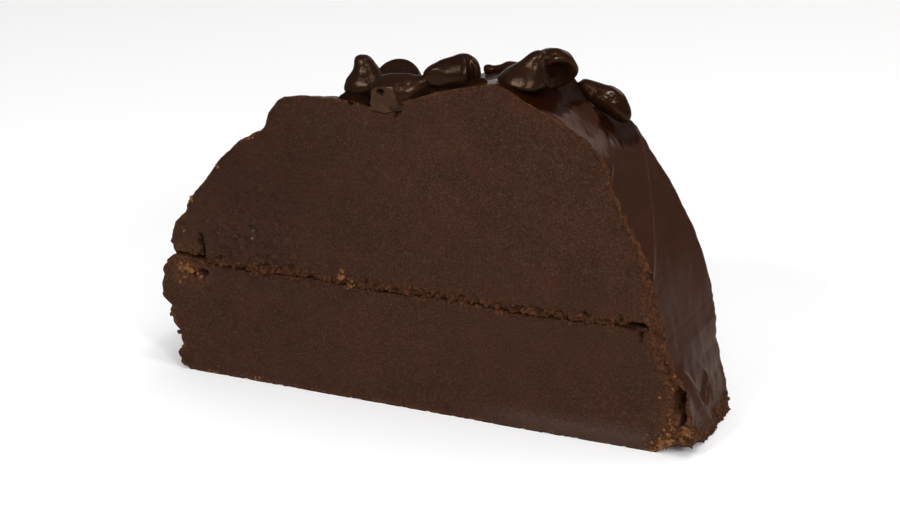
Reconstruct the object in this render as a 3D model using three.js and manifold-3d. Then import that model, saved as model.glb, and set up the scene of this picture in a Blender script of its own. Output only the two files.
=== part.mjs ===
// A cross-cut slice of a hand-worked chocolate fudge loaf, topped with melted chocolate chips.
// Millimetres. +X runs along the slice, +Y from the front cut to the back cut, +Z up.
// The origin is the middle of the flat underside.
import * as THREE from 'three'
import { mergeVertices } from 'three/addons/utils/BufferGeometryUtils.js'
import Module from 'manifold-3d'

const wasm = await Module()
wasm.setup()

// Driving dimensions, mm and degrees
const sliceDepth = 28
const seamGap = 0.3 // between the lower and the upper pour
const chipGap = 0.3 // round each chip
const seamHeight = 26.4
const seamWave = { height: 0.3, length: 34 }
const columnSpacing = 3 // along the skin
const seamSpacing = 5
const baseSpacing = 8
const depthSteps = 14

// The front cut's outline, [x, z], from the right foot over the crown to the left foot
const frontOutline = [
  [63.2, 0], [62.4, 9.5], [60.7, 15.6], [58.4, 19.2], [56, 26.7], [53.4, 36.8], [51.3, 42.5],
  [47.3, 50.1], [45, 54.3], [43.4, 57.2], [42.4, 60.8], [39, 64.8], [33.5, 68.4], [25.9, 71.9],
  [19.4, 74.9], [15.8, 74.7], [6, 72.3], [-2, 69.4], [-9.6, 67.3], [-15.9, 68.1], [-25.5, 67.8],
  [-30.9, 66.9], [-33.7, 64.1], [-35.6, 59.8], [-41.5, 56.1], [-46.7, 51.2], [-51.8, 44.6],
  [-54.3, 41.8], [-56.5, 37.7], [-59.7, 33.4], [-59.5, 27.4], [-61.4, 25.2], [-63, 17.4],
  [-60.9, 14.9], [-61.1, 13], [-58.4, 6], [-59.9, 3.6], [-57.2, 0],
]

// How much farther out than the front cut the back cut's outline lies, [angle, mm], with the
// angle taken round the middle of the base from +X
const backOffset = [
  [0, -0.4], [10, -2], [15, -1.3], [20, 0.9], [27, 1.4], [33, 1], [42, 0.3], [50, -0.4], [58, -2.8],
  [68, -2], [86, -2.3], [98, -3], [102, -4.5], [106, -7.5], [115, -8], [121, -2.5], [128, 0],
  [180, 0],
]

// Two paddle ridges climb the right flank from the front cut (from) to the back cut (to)
const upperRidge = { from: 52.6, to: 70.5 }
const lowerRidge = { from: 36, to: 57.4 }
const ridgeFoot = 26 // the skin's columns climb with the ridges between these two angles
const ridgeHead = 86
const ridgeHeight = 0.5
const ridgeReach = { above: 2.5, below: 0.8 }
const ridgeColumns = [-1.2, 0, 2] // extra columns beside each crest

// Worked lumps over the left flank. Each wave has its rate round the base in radians a degree,
// its rate from cut to cut, its phase and its height.
const lumpAngles = { start: 124, full: 138, foot: 168 }
const lumpWaves = [
  { round: 0.48, through: 2, phase: 0, height: 0.34 },
  { round: 0.14, through: 16, phase: 0, height: 0.34 },
  { round: 0.83, through: -13, phase: 1, height: 0.32 },
]
const workedShare = 0.85 // of the radius, inside which the loaf is undisturbed

// Pits in the cut face, the skin and the crumbled foot: centre and half sizes
const upperPits = [
  { centre: [-52.7, -14, 30.1], half: [0.7, 1.8, 2.7] },
  { centre: [51.2, -14, 27.2], half: [2.4, 1.4, 0.9] },
]
const lowerPits = [
  { centre: [60.6, -12.9, 12.9], half: [1.6, 2.4, 3.2] },
  { centre: [61.7, -2, 10.2], half: [1.4, 1.8, 2.2] },
  { centre: [62, -16, -1.5], half: [11, 9, 5] },
]

// A chip's profile as shares of its radius and height, from the middle of its base to its shoulder
const shoulder = 0.7
const kissProfile = [[0, 0], [0.86, 0], [1, 0.15], [0.93, 0.33], [shoulder, 0.54]]

// Each chip: the middle of its base, how far its tip leans from straight up, the way it leans,
// turned from +X towards +Y, how far its tip droops on that way, and its neck's share of its radius
const chips = [
  {
    name: 'chip_cut', base: [-9.1, -10.6, 67.9], radius: 4.9, height: 13.2,
    lean: 66, toward: 5, droop: 0, neck: 0.34,
  },
  {
    name: 'chip_flipped', base: [-7.6, -4.6, 71], radius: 5.5, height: 6.6,
    lean: 145, toward: 116, droop: 0, neck: 0.3,
  },
  {
    name: 'chip_left', base: [-13.9, -6.5, 67.8], radius: 4.8, height: 8.5,
    lean: 0, toward: 0, droop: -1.3, neck: 0.42,
  },
  {
    name: 'chip_long', base: [11.8, -6.5, 75.3], radius: 3.9, height: 11.8,
    lean: 90, toward: 212, droop: 0, neck: 0.5,
  },
  {
    name: 'chip_back', base: [14.5, 8.4, 72.4], radius: 2.1, height: 7.6,
    lean: 94, toward: 183, droop: 0, neck: 0.55,
  },
  {
    name: 'chip_kiss', base: [21.3, -6, 73.5], radius: 5.4, height: 7.7,
    lean: 8, toward: 0, droop: 2.6, neck: 0.3,
  },
  {
    name: 'chip_open', base: [25.8, 0.6, 74.4], radius: 4.9, height: 7.2,
    lean: 70, toward: 127, droop: 0, neck: 0.3,
  },
  {
    name: 'chip_right', base: [38.4, 7.8, 65.1], radius: 3.4, height: 11.7,
    lean: 52, toward: 182, droop: 1.4, neck: 0.36,
  },
]
const chipSegments = 20
const chipRings = 12

const chocolate = {
  lowerLayer: { color: '#42302a', roughness: 0.75, metalness: 0 },
  upperLayer: { color: '#402c24', roughness: 0.7, metalness: 0 },
  chip: { color: '#34231b', roughness: 0.3, metalness: 0 },
}

const radians = THREE.MathUtils.degToRad
const degrees = THREE.MathUtils.radToDeg
const smoothstep = THREE.MathUtils.smoothstep

// Straight-line interpolation in a table of [x, y] rows with rising x
function lookUp(table, x) {
  const next = table.findIndex((row) => row[0] > x)
  if (next === 0) return table[0][1]
  if (next < 0) return table[table.length - 1][1]
  const [x0, y0] = table[next - 1]
  const [x1, y1] = table[next]
  return THREE.MathUtils.mapLinear(x, x0, x1, y0, y1)
}

// The spline through an outline, as rows of [angle, radius] round the middle of the base
function polarTable(outline) {
  const curve = new THREE.SplineCurve(outline.map((point) => new THREE.Vector2(...point)))
  const samples = curve.getPoints(outline.length * 12)
  return samples.map((point) => [degrees(Math.atan2(point.y, point.x)), point.length()])
}

const frontRadii = polarTable(frontOutline)
const frontRadius = (angle) => lookUp(frontRadii, angle)

// A raised crest with a long slope above it and a short one below it
function ridge(angle, crest) {
  const along = radians(angle - crest) * frontRadius(crest)
  const reach = along > 0 ? ridgeReach.above : ridgeReach.below
  return ridgeHeight * Math.exp(-Math.abs(along) / reach)
}

// Crossing waves that fade out at the crown, the foot and the front cut
function lumps(angle, share) {
  const { start, full, foot } = lumpAngles
  const place = smoothstep(angle, start, full) * (1 - smoothstep(angle, foot, 180))
  const height = lumpWaves.reduce((sum, wave) => {
    return sum + wave.height * Math.sin(wave.round * angle + wave.through * share + wave.phase)
  }, 0)
  return height * place * Math.min(1, 3 * share)
}

// The skin's radius at an angle and a share of the depth, 0 at the front cut and 1 at the back cut
function skinRadius(angle, share) {
  const upper = THREE.MathUtils.lerp(upperRidge.from, upperRidge.to, share)
  const lower = THREE.MathUtils.lerp(lowerRidge.from, lowerRidge.to, share)
  const worked = ridge(angle, upper) + ridge(angle, lower) + lumps(angle, share)
  return frontRadius(angle) + share * lookUp(backOffset, angle) + worked
}

// Where a column of the front outline has climbed to at a share of the depth
function climbedAngle(angle, share) {
  const upper = THREE.MathUtils.lerp(upperRidge.from, upperRidge.to, share)
  const lower = THREE.MathUtils.lerp(lowerRidge.from, lowerRidge.to, share)
  const knots = [
    [0, 0], [ridgeFoot, ridgeFoot], [lowerRidge.from, lower], [upperRidge.from, upper],
    [ridgeHead, ridgeHead], [181, 181],
  ]
  return lookUp(knots, angle)
}

function seamLine(x) {
  return seamHeight + seamWave.height * Math.sin((2 * Math.PI * x) / seamWave.length)
}

// The angle at which the front outline crosses the seam, between one below it and one above it
function seamAngle(foot, crown) {
  let [below, above] = [foot, crown]
  while (Math.abs(above - below) > 1e-6) {
    const middle = (below + above) / 2
    const [x, z] = frontPoint(middle)
    if (z > seamLine(x)) above = middle
    else below = middle
  }
  return above
}

function frontPoint(angle) {
  const radius = frontRadius(angle)
  return [radius * Math.cos(radians(angle)), radius * Math.sin(radians(angle))]
}

// Angles from one to another along the skin, closer where the columns spread as they climb
function columnAngles(from, to) {
  const crests = [lowerRidge.from, upperRidge.from].filter((crest) => crest > from && crest < to)
  const stops = [from, ...crests.flatMap((crest) => ridgeColumns.map((side) => crest + side)), to]
  const angles = [from]
  for (let i = 1; i < stops.length; i += 1) {
    const length = radians(stops[i] - stops[i - 1]) * frontRadius(stops[i])
    const spacing = stops[i] < upperRidge.from ? columnSpacing / 2 : columnSpacing
    const count = Math.max(1, Math.round(length / spacing))
    for (let k = 1; k <= count; k += 1) {
      angles.push(THREE.MathUtils.lerp(stops[i - 1], stops[i], k / count))
    }
  }
  return angles
}

// The seam's points from one x to another, moved up or down by half the gap
function seamPoints(from, to, lift) {
  const count = Math.round(Math.abs(to - from) / seamSpacing)
  return Array.from({ length: count + 1 }, (_, k) => {
    const x = THREE.MathUtils.lerp(from, to, k / count)
    return [x, seamLine(x) + lift]
  })
}

function basePoints(from, to) {
  const count = Math.round(Math.abs(to - from) / baseSpacing)
  return Array.from({ length: count - 1 }, (_, k) => {
    return [THREE.MathUtils.lerp(from, to, (k + 1) / count), 0]
  })
}

const rightSeam = seamAngle(5, 45)
const leftSeam = seamAngle(175, 135)

function upperOutline() {
  const [right] = frontPoint(rightSeam)
  const [left] = frontPoint(leftSeam)
  const seam = seamPoints(left, right, seamGap / 2)
  const skin = columnAngles(rightSeam, leftSeam).slice(1, -1).map(frontPoint)
  return [...seam, ...skin]
}

function lowerOutline() {
  const [right] = frontPoint(rightSeam)
  const [left] = frontPoint(leftSeam)
  const base = basePoints(frontPoint(180)[0], frontPoint(0)[0])
  const rightFlank = columnAngles(0, rightSeam).slice(0, -1).map(frontPoint)
  const seam = seamPoints(right, left, -seamGap / 2)
  const leftFlank = columnAngles(leftSeam, 180).slice(1).map(frontPoint)
  return [...base, ...rightFlank, ...seam, ...leftFlank]
}

// Moves a point of the straight extrusion onto the worked loaf, grown by an allowance
function workPoint(x, y, z, allowance) {
  const share = y / sliceDepth + 0.5
  const angle = degrees(Math.atan2(Math.max(z, 0), x))
  const reach = Math.hypot(x, z) / frontRadius(angle)
  const nearSkin = smoothstep(reach, workedShare, 1)
  const turned = THREE.MathUtils.lerp(angle, climbedAngle(angle, share), nearSkin)
  const skin = skinRadius(turned, share) + allowance
  const radius = reach * THREE.MathUtils.lerp(frontRadius(angle), skin, nearSkin)
  const upright = radians(turned)
  return [radius * Math.cos(upright), y, radius * Math.sin(upright)]
}

// A layer is its outline extruded from cut to cut, then worked
function layerGeometry(outline, allowance = 0) {
  const shape = new THREE.Shape(outline.map((point) => new THREE.Vector2(...point)))
  const geometry = new THREE.ExtrudeGeometry(shape, {
    depth: sliceDepth,
    steps: depthSteps,
    bevelEnabled: false,
  })
  geometry.rotateX(Math.PI / 2)
  geometry.translate(0, sliceDepth / 2, 0)
  const position = geometry.attributes.position
  for (let i = 0; i < position.count; i += 1) {
    const worked = workPoint(position.getX(i), position.getY(i), position.getZ(i), allowance)
    position.setXYZ(i, ...worked)
  }
  return geometry
}

// From the wide foot the profile narrows to the neck, then closes in a round tip
function chipProfile({ radius, height, neck }, allowance) {
  const waist = THREE.MathUtils.lerp(shoulder, neck, 0.65)
  const top = [[waist, 0.74], [neck, 0.9], [neck / 2, 0.99], [0, 1]]
  const outer = [...kissProfile, ...top].map(([r, h]) => {
    return new THREE.Vector2(r * (radius + allowance), h * (height + 2 * allowance) - allowance)
  })
  const profile = new THREE.SplineCurve(outer).getPoints(chipRings)
  profile.forEach((point) => point.setX(Math.max(point.x, 0)))
  profile[0].x = 0
  profile[chipRings].x = 0
  return profile
}

// A kiss of chocolate: its profile turned round its axis, then leant over and set down
function chipGeometry(chip, allowance = 0) {
  const geometry = new THREE.LatheGeometry(chipProfile(chip, allowance), chipSegments)
  geometry.rotateX(Math.PI / 2)
  bendTip(geometry, chip.height, chip.droop)
  geometry.rotateY(radians(chip.lean))
  geometry.rotateZ(radians(chip.toward))
  geometry.translate(...chip.base)
  return geometry
}

function bendTip(geometry, height, droop) {
  const position = geometry.attributes.position
  for (let i = 0; i < position.count; i += 1) {
    const share = position.getZ(i) / height
    position.setX(i, position.getX(i) + droop * share * share)
  }
}

function pitGeometry({ centre, half }) {
  const geometry = new THREE.IcosahedronGeometry(1, 2)
  geometry.scale(...half)
  geometry.translate(...centre)
  return geometry
}

// Everything in front of the front cut
function knifeGeometry() {
  const reach = 200
  const geometry = new THREE.BoxGeometry(reach, reach, reach)
  geometry.translate(0, -(reach + sliceDepth) / 2, 0)
  return geometry
}

function toSolid(geometry) {
  const bare = geometry.clone()
  bare.deleteAttribute('normal')
  bare.deleteAttribute('uv')
  const merged = mergeVertices(bare, 1e-4)
  const vertProperties = new Float32Array(merged.attributes.position.array)
  const triVerts = new Uint32Array(merged.index.array)
  return new wasm.Manifold(new wasm.Mesh({ numProp: 3, vertProperties, triVerts }))
}

function toGeometry(solid) {
  const { vertProperties, triVerts } = solid.getMesh()
  const geometry = new THREE.BufferGeometry()
  geometry.setAttribute('position', new THREE.BufferAttribute(vertProperties, 3))
  geometry.setIndex(new THREE.BufferAttribute(triVerts, 1))
  geometry.computeVertexNormals()
  return geometry
}

// The largest body of a solid, without the loose scraps that a cut leaves
function mainBody(solid) {
  return solid.decompose().sort((a, b) => b.volume() - a.volume())[0]
}

function makeMesh(name, solid, finish) {
  const mesh = new THREE.Mesh(toGeometry(solid), new THREE.MeshStandardMaterial(finish))
  mesh.name = name
  return mesh
}

function upperLayer() {
  let solid = toSolid(layerGeometry(upperOutline()))
  upperPits.forEach((pit) => {
    solid = solid.subtract(toSolid(pitGeometry(pit)))
  })
  const pocket = toSolid(chipGeometry(chips[0], chipGap))
  return mainBody(solid.subtract(pocket))
}

function lowerLayer() {
  let solid = toSolid(layerGeometry(lowerOutline()))
  lowerPits.forEach((pit) => {
    solid = solid.subtract(toSolid(pitGeometry(pit)))
  })
  return mainBody(solid)
}

// The first chip was under the knife. The others rest on the skin and clear of each other.
function chipSolids() {
  const knife = toSolid(knifeGeometry())
  const skin = toSolid(layerGeometry(upperOutline(), chipGap))
  const placed = []
  return chips.map((chip, i) => {
    let solid = toSolid(chipGeometry(chip)).subtract(knife)
    if (i > 0) solid = solid.subtract(skin)
    placed.forEach((neighbour) => {
      solid = solid.subtract(neighbour)
    })
    placed.push(toSolid(chipGeometry(chip, chipGap)))
    return { name: chip.name, solid: mainBody(solid) }
  })
}

const group = new THREE.Group()
group.add(makeMesh('fudge_lower_layer', lowerLayer(), chocolate.lowerLayer))
group.add(makeMesh('fudge_upper_layer', upperLayer(), chocolate.upperLayer))
chipSolids().forEach(({ name, solid }) => group.add(makeMesh(name, solid, chocolate.chip)))

export default group
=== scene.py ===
# A slice of layered chocolate fudge: two poured layers, a glossy worked skin and melted chips.
# The dictionaries are in millimetres and degrees, and the meshes in metres.
import itertools
import math

import bmesh
import bpy
import numpy as np
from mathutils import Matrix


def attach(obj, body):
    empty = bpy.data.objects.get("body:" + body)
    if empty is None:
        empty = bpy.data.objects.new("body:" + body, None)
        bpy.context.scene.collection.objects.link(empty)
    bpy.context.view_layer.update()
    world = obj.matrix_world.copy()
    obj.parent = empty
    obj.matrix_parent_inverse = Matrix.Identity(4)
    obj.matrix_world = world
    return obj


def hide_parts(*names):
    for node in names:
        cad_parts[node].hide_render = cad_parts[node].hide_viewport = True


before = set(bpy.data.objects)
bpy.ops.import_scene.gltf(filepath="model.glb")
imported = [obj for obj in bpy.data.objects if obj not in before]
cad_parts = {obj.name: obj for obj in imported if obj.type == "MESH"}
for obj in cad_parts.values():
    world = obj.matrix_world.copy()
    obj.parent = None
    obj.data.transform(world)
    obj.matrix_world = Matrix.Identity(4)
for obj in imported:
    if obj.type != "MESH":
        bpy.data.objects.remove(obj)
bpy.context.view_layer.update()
mm = 0.001


def tone(red, green, blue):
    # a screen colour from 0 to 255 as linear light
    shares = np.array([red, green, blue]) / 255
    linear = np.where(shares > 0.04045, ((shares + 0.055) / 1.055) ** 2.4, shares / 12.92)
    return (*(float(value) for value in linear), 1.0)


def addObject(name, data):
    # puts data into the scene as a new object
    thing = bpy.data.objects.new(name, data)
    bpy.context.collection.objects.link(thing)
    return thing


# camera

view = {
    "place": (179.03, -400.37, 186.83),
    "turn": (70.52, 0, 23.846),
    "lens": 85, "sensor": 36, "nearest": 10,
}


def makeCamera():
    # a camera at its place, turned by degrees about X, then Y, then Z
    data = bpy.data.cameras.new("camera")
    data.lens = view["lens"]
    data.sensor_width = view["sensor"]
    data.clip_start = view["nearest"] * mm
    camera = addObject("camera", data)
    camera.location = [value * mm for value in view["place"]]
    camera.rotation_euler = [math.radians(value) for value in view["turn"]]
    bpy.context.scene.camera = camera


makeCamera()
print("camera placed")


# shared sums

def smoothstep(value, low, high):
    # 0 below low and 1 above high, with 3t^2 - 2t^3 between them
    share = np.clip((np.asarray(value, float) - low) / (high - low), 0, 1)
    return share * share * (3 - 2 * share)


def falling(value, low, high):
    # 1 below low and 0 above high
    return 1 - smoothstep(value, low, high)


def plateau(value, rise, fall):
    # a step up over one range, times a step down over another
    return smoothstep(value, *rise) * falling(value, *fall)


def bell(value, middle, width):
    # exp(-t^2), where t is the distance from the middle in widths
    return np.exp(-((value - middle) / width) ** 2)


def polar(radius, angle):
    # the radius times the angle's cosine and sine
    return radius * np.cos(np.radians(angle)), radius * np.sin(np.radians(angle))


def mix(first, second, share):
    # the first value plus a share of the way to the second
    return first + (second - first) * share


# whole numbers that scramble the corners of a lattice
scramble = {
    "shift": 512, "axes": (73856093, 19349663, 83492791), "seed": 2654435,
    "rounds": [(13, 1274126177), (11, 1103515245)], "mask": 0x7FFFFFFF,
}


def latticeNoise(points, size, seed):
    # random heights from -1 to 1 on a lattice of that size, blended by 3t^2 - 2t^3 between them
    place = np.asarray(points, float) / size + scramble["shift"]
    cell = np.floor(place).astype(np.int64)
    share = place - cell
    share = share * share * (3 - 2 * share)
    total = np.zeros(place.shape[:-1])
    for corner in itertools.product((0, 1), repeat=3):
        number = ((cell + corner) * np.array(scramble["axes"])).sum(axis=-1)
        number = number + seed * scramble["seed"]
        for shift, factor in scramble["rounds"]:
            number = ((number ^ (number >> shift)) * factor) & scramble["mask"]
        weight = np.prod(np.where(np.array(corner) == 1, share, 1 - share), axis=-1)
        total += weight * (number / (scramble["mask"] // 2) - 1)
    return total


def roughNoise(points, size, seed, octaves=3):
    # lattice noise summed over octaves, each half the size and 0.55 of the height of the last
    return sum(0.55 ** k * latticeNoise(points, size / 2 ** k, seed + k) for k in range(octaves))


def unevenness(points, facts):
    # rough noise of the size, height and seed in a dictionary
    octaves = facts.get("octaves", 3)
    return facts["height"] * roughNoise(points, facts["size"], facts["seed"], octaves)


def splineThrough(points, perSpan=12):
    # a cubic for each span, whose end slopes are half the chord between the neighbouring points
    known = np.array(points, float)
    padded = np.vstack([known[:1], known, known[-1:]])
    at = np.linspace(0, len(known) - 1, (len(known) - 1) * perSpan + 1)
    span = np.minimum(at.astype(int), len(known) - 2)
    t = (at - span)[:, None]
    before, first, second, after = (padded[span + k] for k in range(4))
    leave, arrive = (second - before) / 2, (after - first) / 2
    return ((2 * first - 2 * second + leave + arrive) * t ** 3
            + (3 * second - 3 * first - 2 * leave - arrive) * t ** 2 + leave * t + first)


def evenSteps(lengths, count):
    # the places along a table of running lengths that split it evenly
    return np.interp(np.linspace(0, lengths[-1], count), lengths, np.arange(len(lengths)))


def runningLength(points):
    # the sum of the distances up to each point
    return np.concatenate([[0], np.cumsum(np.linalg.norm(np.diff(points, axis=0), axis=1))])


def stretched(count, ends, power=0.7):
    # from 0 to 1, with steps that are closer by a factor near each end and grow by sin^power
    at = np.linspace(0, 1, count)
    pace = ends + (1 - ends) * np.sin(np.pi * at) ** power
    run = np.concatenate([[0], np.cumsum((pace[1:] + pace[:-1]) / 2)])
    return run / run[-1]


def table(rows, at):
    # straight lines between the rows of [at, value]
    rows = np.array(rows, float)
    return np.interp(at, rows[:, 0], rows[:, 1])


def spot(x, z, centre, reach):
    # a soft round mask: a bell curve each way
    return np.exp(-((x - centre[0]) / reach[0]) ** 2 - ((z - centre[1]) / reach[1]) ** 2)


# making the pieces

# how near two points are merged and the shortest edge that is kept, in metres, and from which
# upright share of its normal a face counts as level
sewing = {"merged": 2e-6, "shortest": 1e-7, "level": 0.8}


def newMesh(name, points, faces, materials):
    # a mesh in metres from points in millimetres, with its materials
    mesh = bpy.data.meshes.new(name)
    mesh.from_pydata((points.reshape(-1, 3) * mm).tolist(), [], faces.tolist())
    for material in materials:
        mesh.materials.append(material)
    return mesh


def addPiece(mesh, node=None):
    # the mesh becomes a piece of the slice, and stands for a CAD node where it has one
    piece = addObject(mesh.name, mesh)
    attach(piece, "root")
    if node:
        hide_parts(node)


def makePiece(name, patches, materials, node=None):
    # each patch is a grid of points; its cells are quads, and edges that coincide are merged
    points, quads, finishes, marks, start = [], [], [], [], 0
    for patch in patches:
        rows, columns = patch["points"].shape[:2]
        index = np.arange(rows * columns).reshape(rows, columns) + start
        cells = [index[:-1, :-1], index[:-1, 1:], index[1:, 1:], index[1:, :-1]]
        quads.append(np.stack(cells, axis=-1).reshape(-1, 4))
        finishes.append(np.broadcast_to(patch["finish"], (rows - 1, columns - 1)).reshape(-1))
        points.append(patch["points"].reshape(-1, 3))
        shown = patch.get("marks", {})
        marks.append({key: values.reshape(-1) for key, values in shown.items()})
        start += rows * columns
    mesh = newMesh(name, np.concatenate(points), np.concatenate(quads), materials)
    mesh.polygons.foreach_set("material_index", np.concatenate(finishes))
    for key in sorted({key for patchMarks in marks for key in patchMarks}):
        values = [shown.get(key, np.zeros(len(place))) for shown, place in zip(marks, points)]
        layer = mesh.attributes.new(key, "FLOAT", "POINT")
        layer.data.foreach_set("value", np.concatenate(values))
    sewMesh(mesh)
    addPiece(mesh, node)


def sewMesh(mesh):
    # merges the coinciding edges of the patches, then turns every face outwards
    work = bmesh.new()
    work.from_mesh(mesh)
    bmesh.ops.remove_doubles(work, verts=work.verts, dist=sewing["merged"])
    bmesh.ops.dissolve_degenerate(work, edges=work.edges, dist=sewing["shortest"])
    bmesh.ops.recalc_face_normals(work, faces=work.faces)
    for face in work.faces:
        face.smooth = True
    # two finishes meet in a sharp edge, except at the level joint, which the skin hides
    for edge in work.edges:
        sides = sorted(edge.link_faces, key=lambda face: face.material_index)
        if len(sides) == 2 and sides[0].material_index != sides[1].material_index:
            edge.smooth = abs(sides[0].normal.z) < sewing["level"]
    work.to_mesh(mesh)
    work.free()


# the loaf's form

loaf = {
    "depth": 28,
    # the joint of the pours: its level, its wave, the gap at it, where the gap closes towards
    # the skin, and the angles between which the outline crosses it
    "seam": {
        "height": 26.4, "wave": 0.3, "length": 34, "gap": 0.05, "gapCloses": (45, 52),
        "crossings": ((15, 40), (140, 170)),
    },
    # the front cut, [x, z], from the right foot over the crown to the left foot
    "frontOutline": [
        [63.2, 0], [62.4, 9.5], [60.7, 15.6], [58.4, 19.2], [56, 26.7], [53.4, 36.8],
        [51.3, 42.5], [47.3, 50.1], [45, 54.3], [43.4, 57.2], [42.4, 60.8], [39, 64.8],
        [33.5, 68.4], [25.9, 71.9], [19.4, 74.9], [15.8, 74.7], [6, 72.3], [-2, 69.4],
        [-9.6, 67.3], [-15.9, 68.1], [-25.5, 67.8], [-30.9, 66.9], [-33.7, 64.1],
        [-35.6, 59.8], [-41.5, 56.1], [-46.7, 51.2], [-51.8, 44.6], [-54.3, 41.8],
        [-56.5, 37.7], [-59.7, 33.4], [-59.5, 27.4], [-61.4, 25.2], [-63, 17.4],
        [-60.9, 14.9], [-61.1, 13], [-58.4, 6], [-59.9, 3.6], [-57.2, 0],
    ],
    # how much farther out the back cut lies, [angle, mm]
    "backOffset": [
        [0, -0.4], [10, -2], [15, -1.3], [20, 0.9], [27, 1.4], [33, 1], [42, 0.3], [50, -0.4],
        [58, -2.8], [68, -2], [86, -2.3], [98, -3], [102, -4.5], [106, -7.5], [115, -8],
        [121, -2.5], [128, 0], [180, 0],
    ],
    # two paddle ridges climb from one angle at the front cut to another at the back cut
    "ridges": [(52.6, 70.5), (36, 57.4)],
    "ridgeHeight": 0.5,
    "ridgeReach": {"above": 2.5, "below": 0.8},
    "climb": [[0, 0], [26, 0], [36, 21.4], [52.6, 17.9], [86, 0], [181, 0]],
    "workedShare": 0.85,
    # lumps on the left flank: where they start, are full, fade and end, how fast they rise
    # behind the front cut, and waves of rate round, rate through, phase and height
    "lumps": {
        "angles": ((124, 138), (168, 180)), "rise": 3,
        "waves": [(0.48, 2, 0, 0.34), (0.14, 16, 0, 0.34), (0.83, -13, 1, 0.32)],
    },
    # the front cut's small kinks on the right flank fade out into the depth
    "evened": {"angles": ((4, 10), (48, 60)), "width": 7, "samples": 5, "depth": 0.3},
    # finer dents that only show close up and start behind the front cut
    "dents": {"size": 7, "height": 0.12, "seed": 3, "octaves": 2},
    "dentsStart": 0.15,
    # upright nubs, which are weaker above these angles
    "nubs": {"size": 1.9, "height": 0.07, "seed": 7, "octaves": 2},
    "nubsUpright": (1, 1, 0.4),
    "nubsWeaker": (0.6, 14, 28),
    # how crumbly the skin is, by the angles over which that sets in and how much, and its flakes
    "flaky": {"left": [(134, 152, 1), (96, 104, 0.35)], "foot": [(0.5, 5, 0.6), (6, 10, 0.3)]},
    "flakes": {"size": 2, "height": 0.5, "seed": 11},
    # where the skin is drawn into streaks: over which x they set in, over which z they stop
    "drawn": {"x": (20, 40), "z": (5, 19)},
    # how many places the outline is sampled at, and how the columns crowd on the ridges
    "samples": {"crossing": 4000, "arch": 3000, "flank": 400},
    "crowding": {"more": 2, "angle": 2.2},
}

outlineCurve = splineThrough(loaf["frontOutline"])
outlineAngles = np.degrees(np.arctan2(outlineCurve[:, 1], outlineCurve[:, 0]))
outlineOrder = np.argsort(outlineAngles)
outlineAngles = outlineAngles[outlineOrder]
outlineRadii = np.linalg.norm(outlineCurve, axis=1)[outlineOrder]


def frontRadius(angle):
    # a straight line between the curve's points on either side of the angle
    return np.interp(angle, outlineAngles, outlineRadii)


def frontPoint(angle):
    # [x, z] on the outline
    return np.stack(polar(frontRadius(angle), angle), axis=-1)


def fromSkin(x, z):
    # the angle of a place on a cut, and how far inside the outline it is
    angle = np.degrees(np.arctan2(np.maximum(z, 0), x))
    return angle, frontRadius(angle) - np.hypot(x, z)


def evenedRadius(angle):
    # the mean of a few radii across the evened width
    evened = loaf["evened"]
    offsets = np.linspace(-0.5, 0.5, evened["samples"]) * evened["width"]
    return sum(frontRadius(np.maximum(angle + offset, 0)) for offset in offsets) / len(offsets)


def ridge(angle, share, ends):
    # a crest that falls off exponentially, quickly below and slowly above
    crest = mix(ends[0], ends[1], share)
    along = np.radians(angle - crest) * frontRadius(crest)
    reach = np.where(along > 0, loaf["ridgeReach"]["above"], loaf["ridgeReach"]["below"])
    return loaf["ridgeHeight"] * np.exp(-np.abs(along) / reach)


def lumps(angle, share):
    # crossing sine waves that fade out at the crown, the foot and the front cut
    facts = loaf["lumps"]
    place = plateau(angle, *facts["angles"])
    waves = sum(height * np.sin(around * angle + through * share + phase)
                for around, through, phase, height in facts["waves"])
    return waves * place * np.minimum(1, facts["rise"] * share)


def flakiness(angle):
    # how crumbly the skin is: the larger of the left flank's steps, or the foot's steps summed
    left = np.maximum.reduce([most * smoothstep(angle, low, high)
                              for low, high, most in loaf["flaky"]["left"]])
    foot = sum(most * falling(angle, low, high) for low, high, most in loaf["flaky"]["foot"])
    return np.maximum(left, foot)


def skinDetail(angle, share):
    # broad dents and fine nubs everywhere, and rough flakes where the skin is crumbly
    x, z = polar(frontRadius(angle), angle)
    place = np.stack([x, loaf["depth"] * share + 0 * angle, z], axis=-1)
    weaker, low, high = loaf["nubsWeaker"]
    nubs = unevenness(place * loaf["nubsUpright"], loaf["nubs"])
    dents = unevenness(place, loaf["dents"]) + nubs * (1 - weaker * smoothstep(angle, low, high))
    flakes = unevenness(place, loaf["flakes"]) * flakiness(angle)
    return dents * smoothstep(share, 0, loaf["dentsStart"]) + flakes


def skinRadius(angle, share):
    # the front cut's radius plus the share of the back offset, the ridges, lumps and dents
    worked = sum(ridge(angle, share, ends) for ends in loaf["ridges"])
    worked = worked + lumps(angle, share) + skinDetail(angle, share)
    evened = plateau(angle, *loaf["evened"]["angles"])
    evened = evened * smoothstep(share, 0, loaf["evened"]["depth"])
    radius = mix(frontRadius(angle), evenedRadius(angle), evened)
    return radius + share * table(loaf["backOffset"], angle) + worked


def workPoint(x, z, share):
    # near the skin the straight loaf turns by the climb and swells to the worked radius
    angle = np.degrees(np.arctan2(np.maximum(z, 0), x))
    reach = np.hypot(x, z) / frontRadius(angle)
    nearSkin = smoothstep(reach, loaf["workedShare"], 1)
    turned = angle + nearSkin * share * table(loaf["climb"], angle)
    radius = reach * mix(frontRadius(angle), skinRadius(turned, share), nearSkin)
    return polar(radius, turned)


def seamLine(x):
    # a level line with one slow sine wave
    seam = loaf["seam"]
    return seam["height"] + seam["wave"] * np.sin(2 * np.pi * x / seam["length"])


def seamGap(x):
    # each pour keeps this far from the joint, and less and less towards the skin
    seam = loaf["seam"]
    return seam["gap"] * falling(np.abs(x), *seam["gapCloses"])


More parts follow.
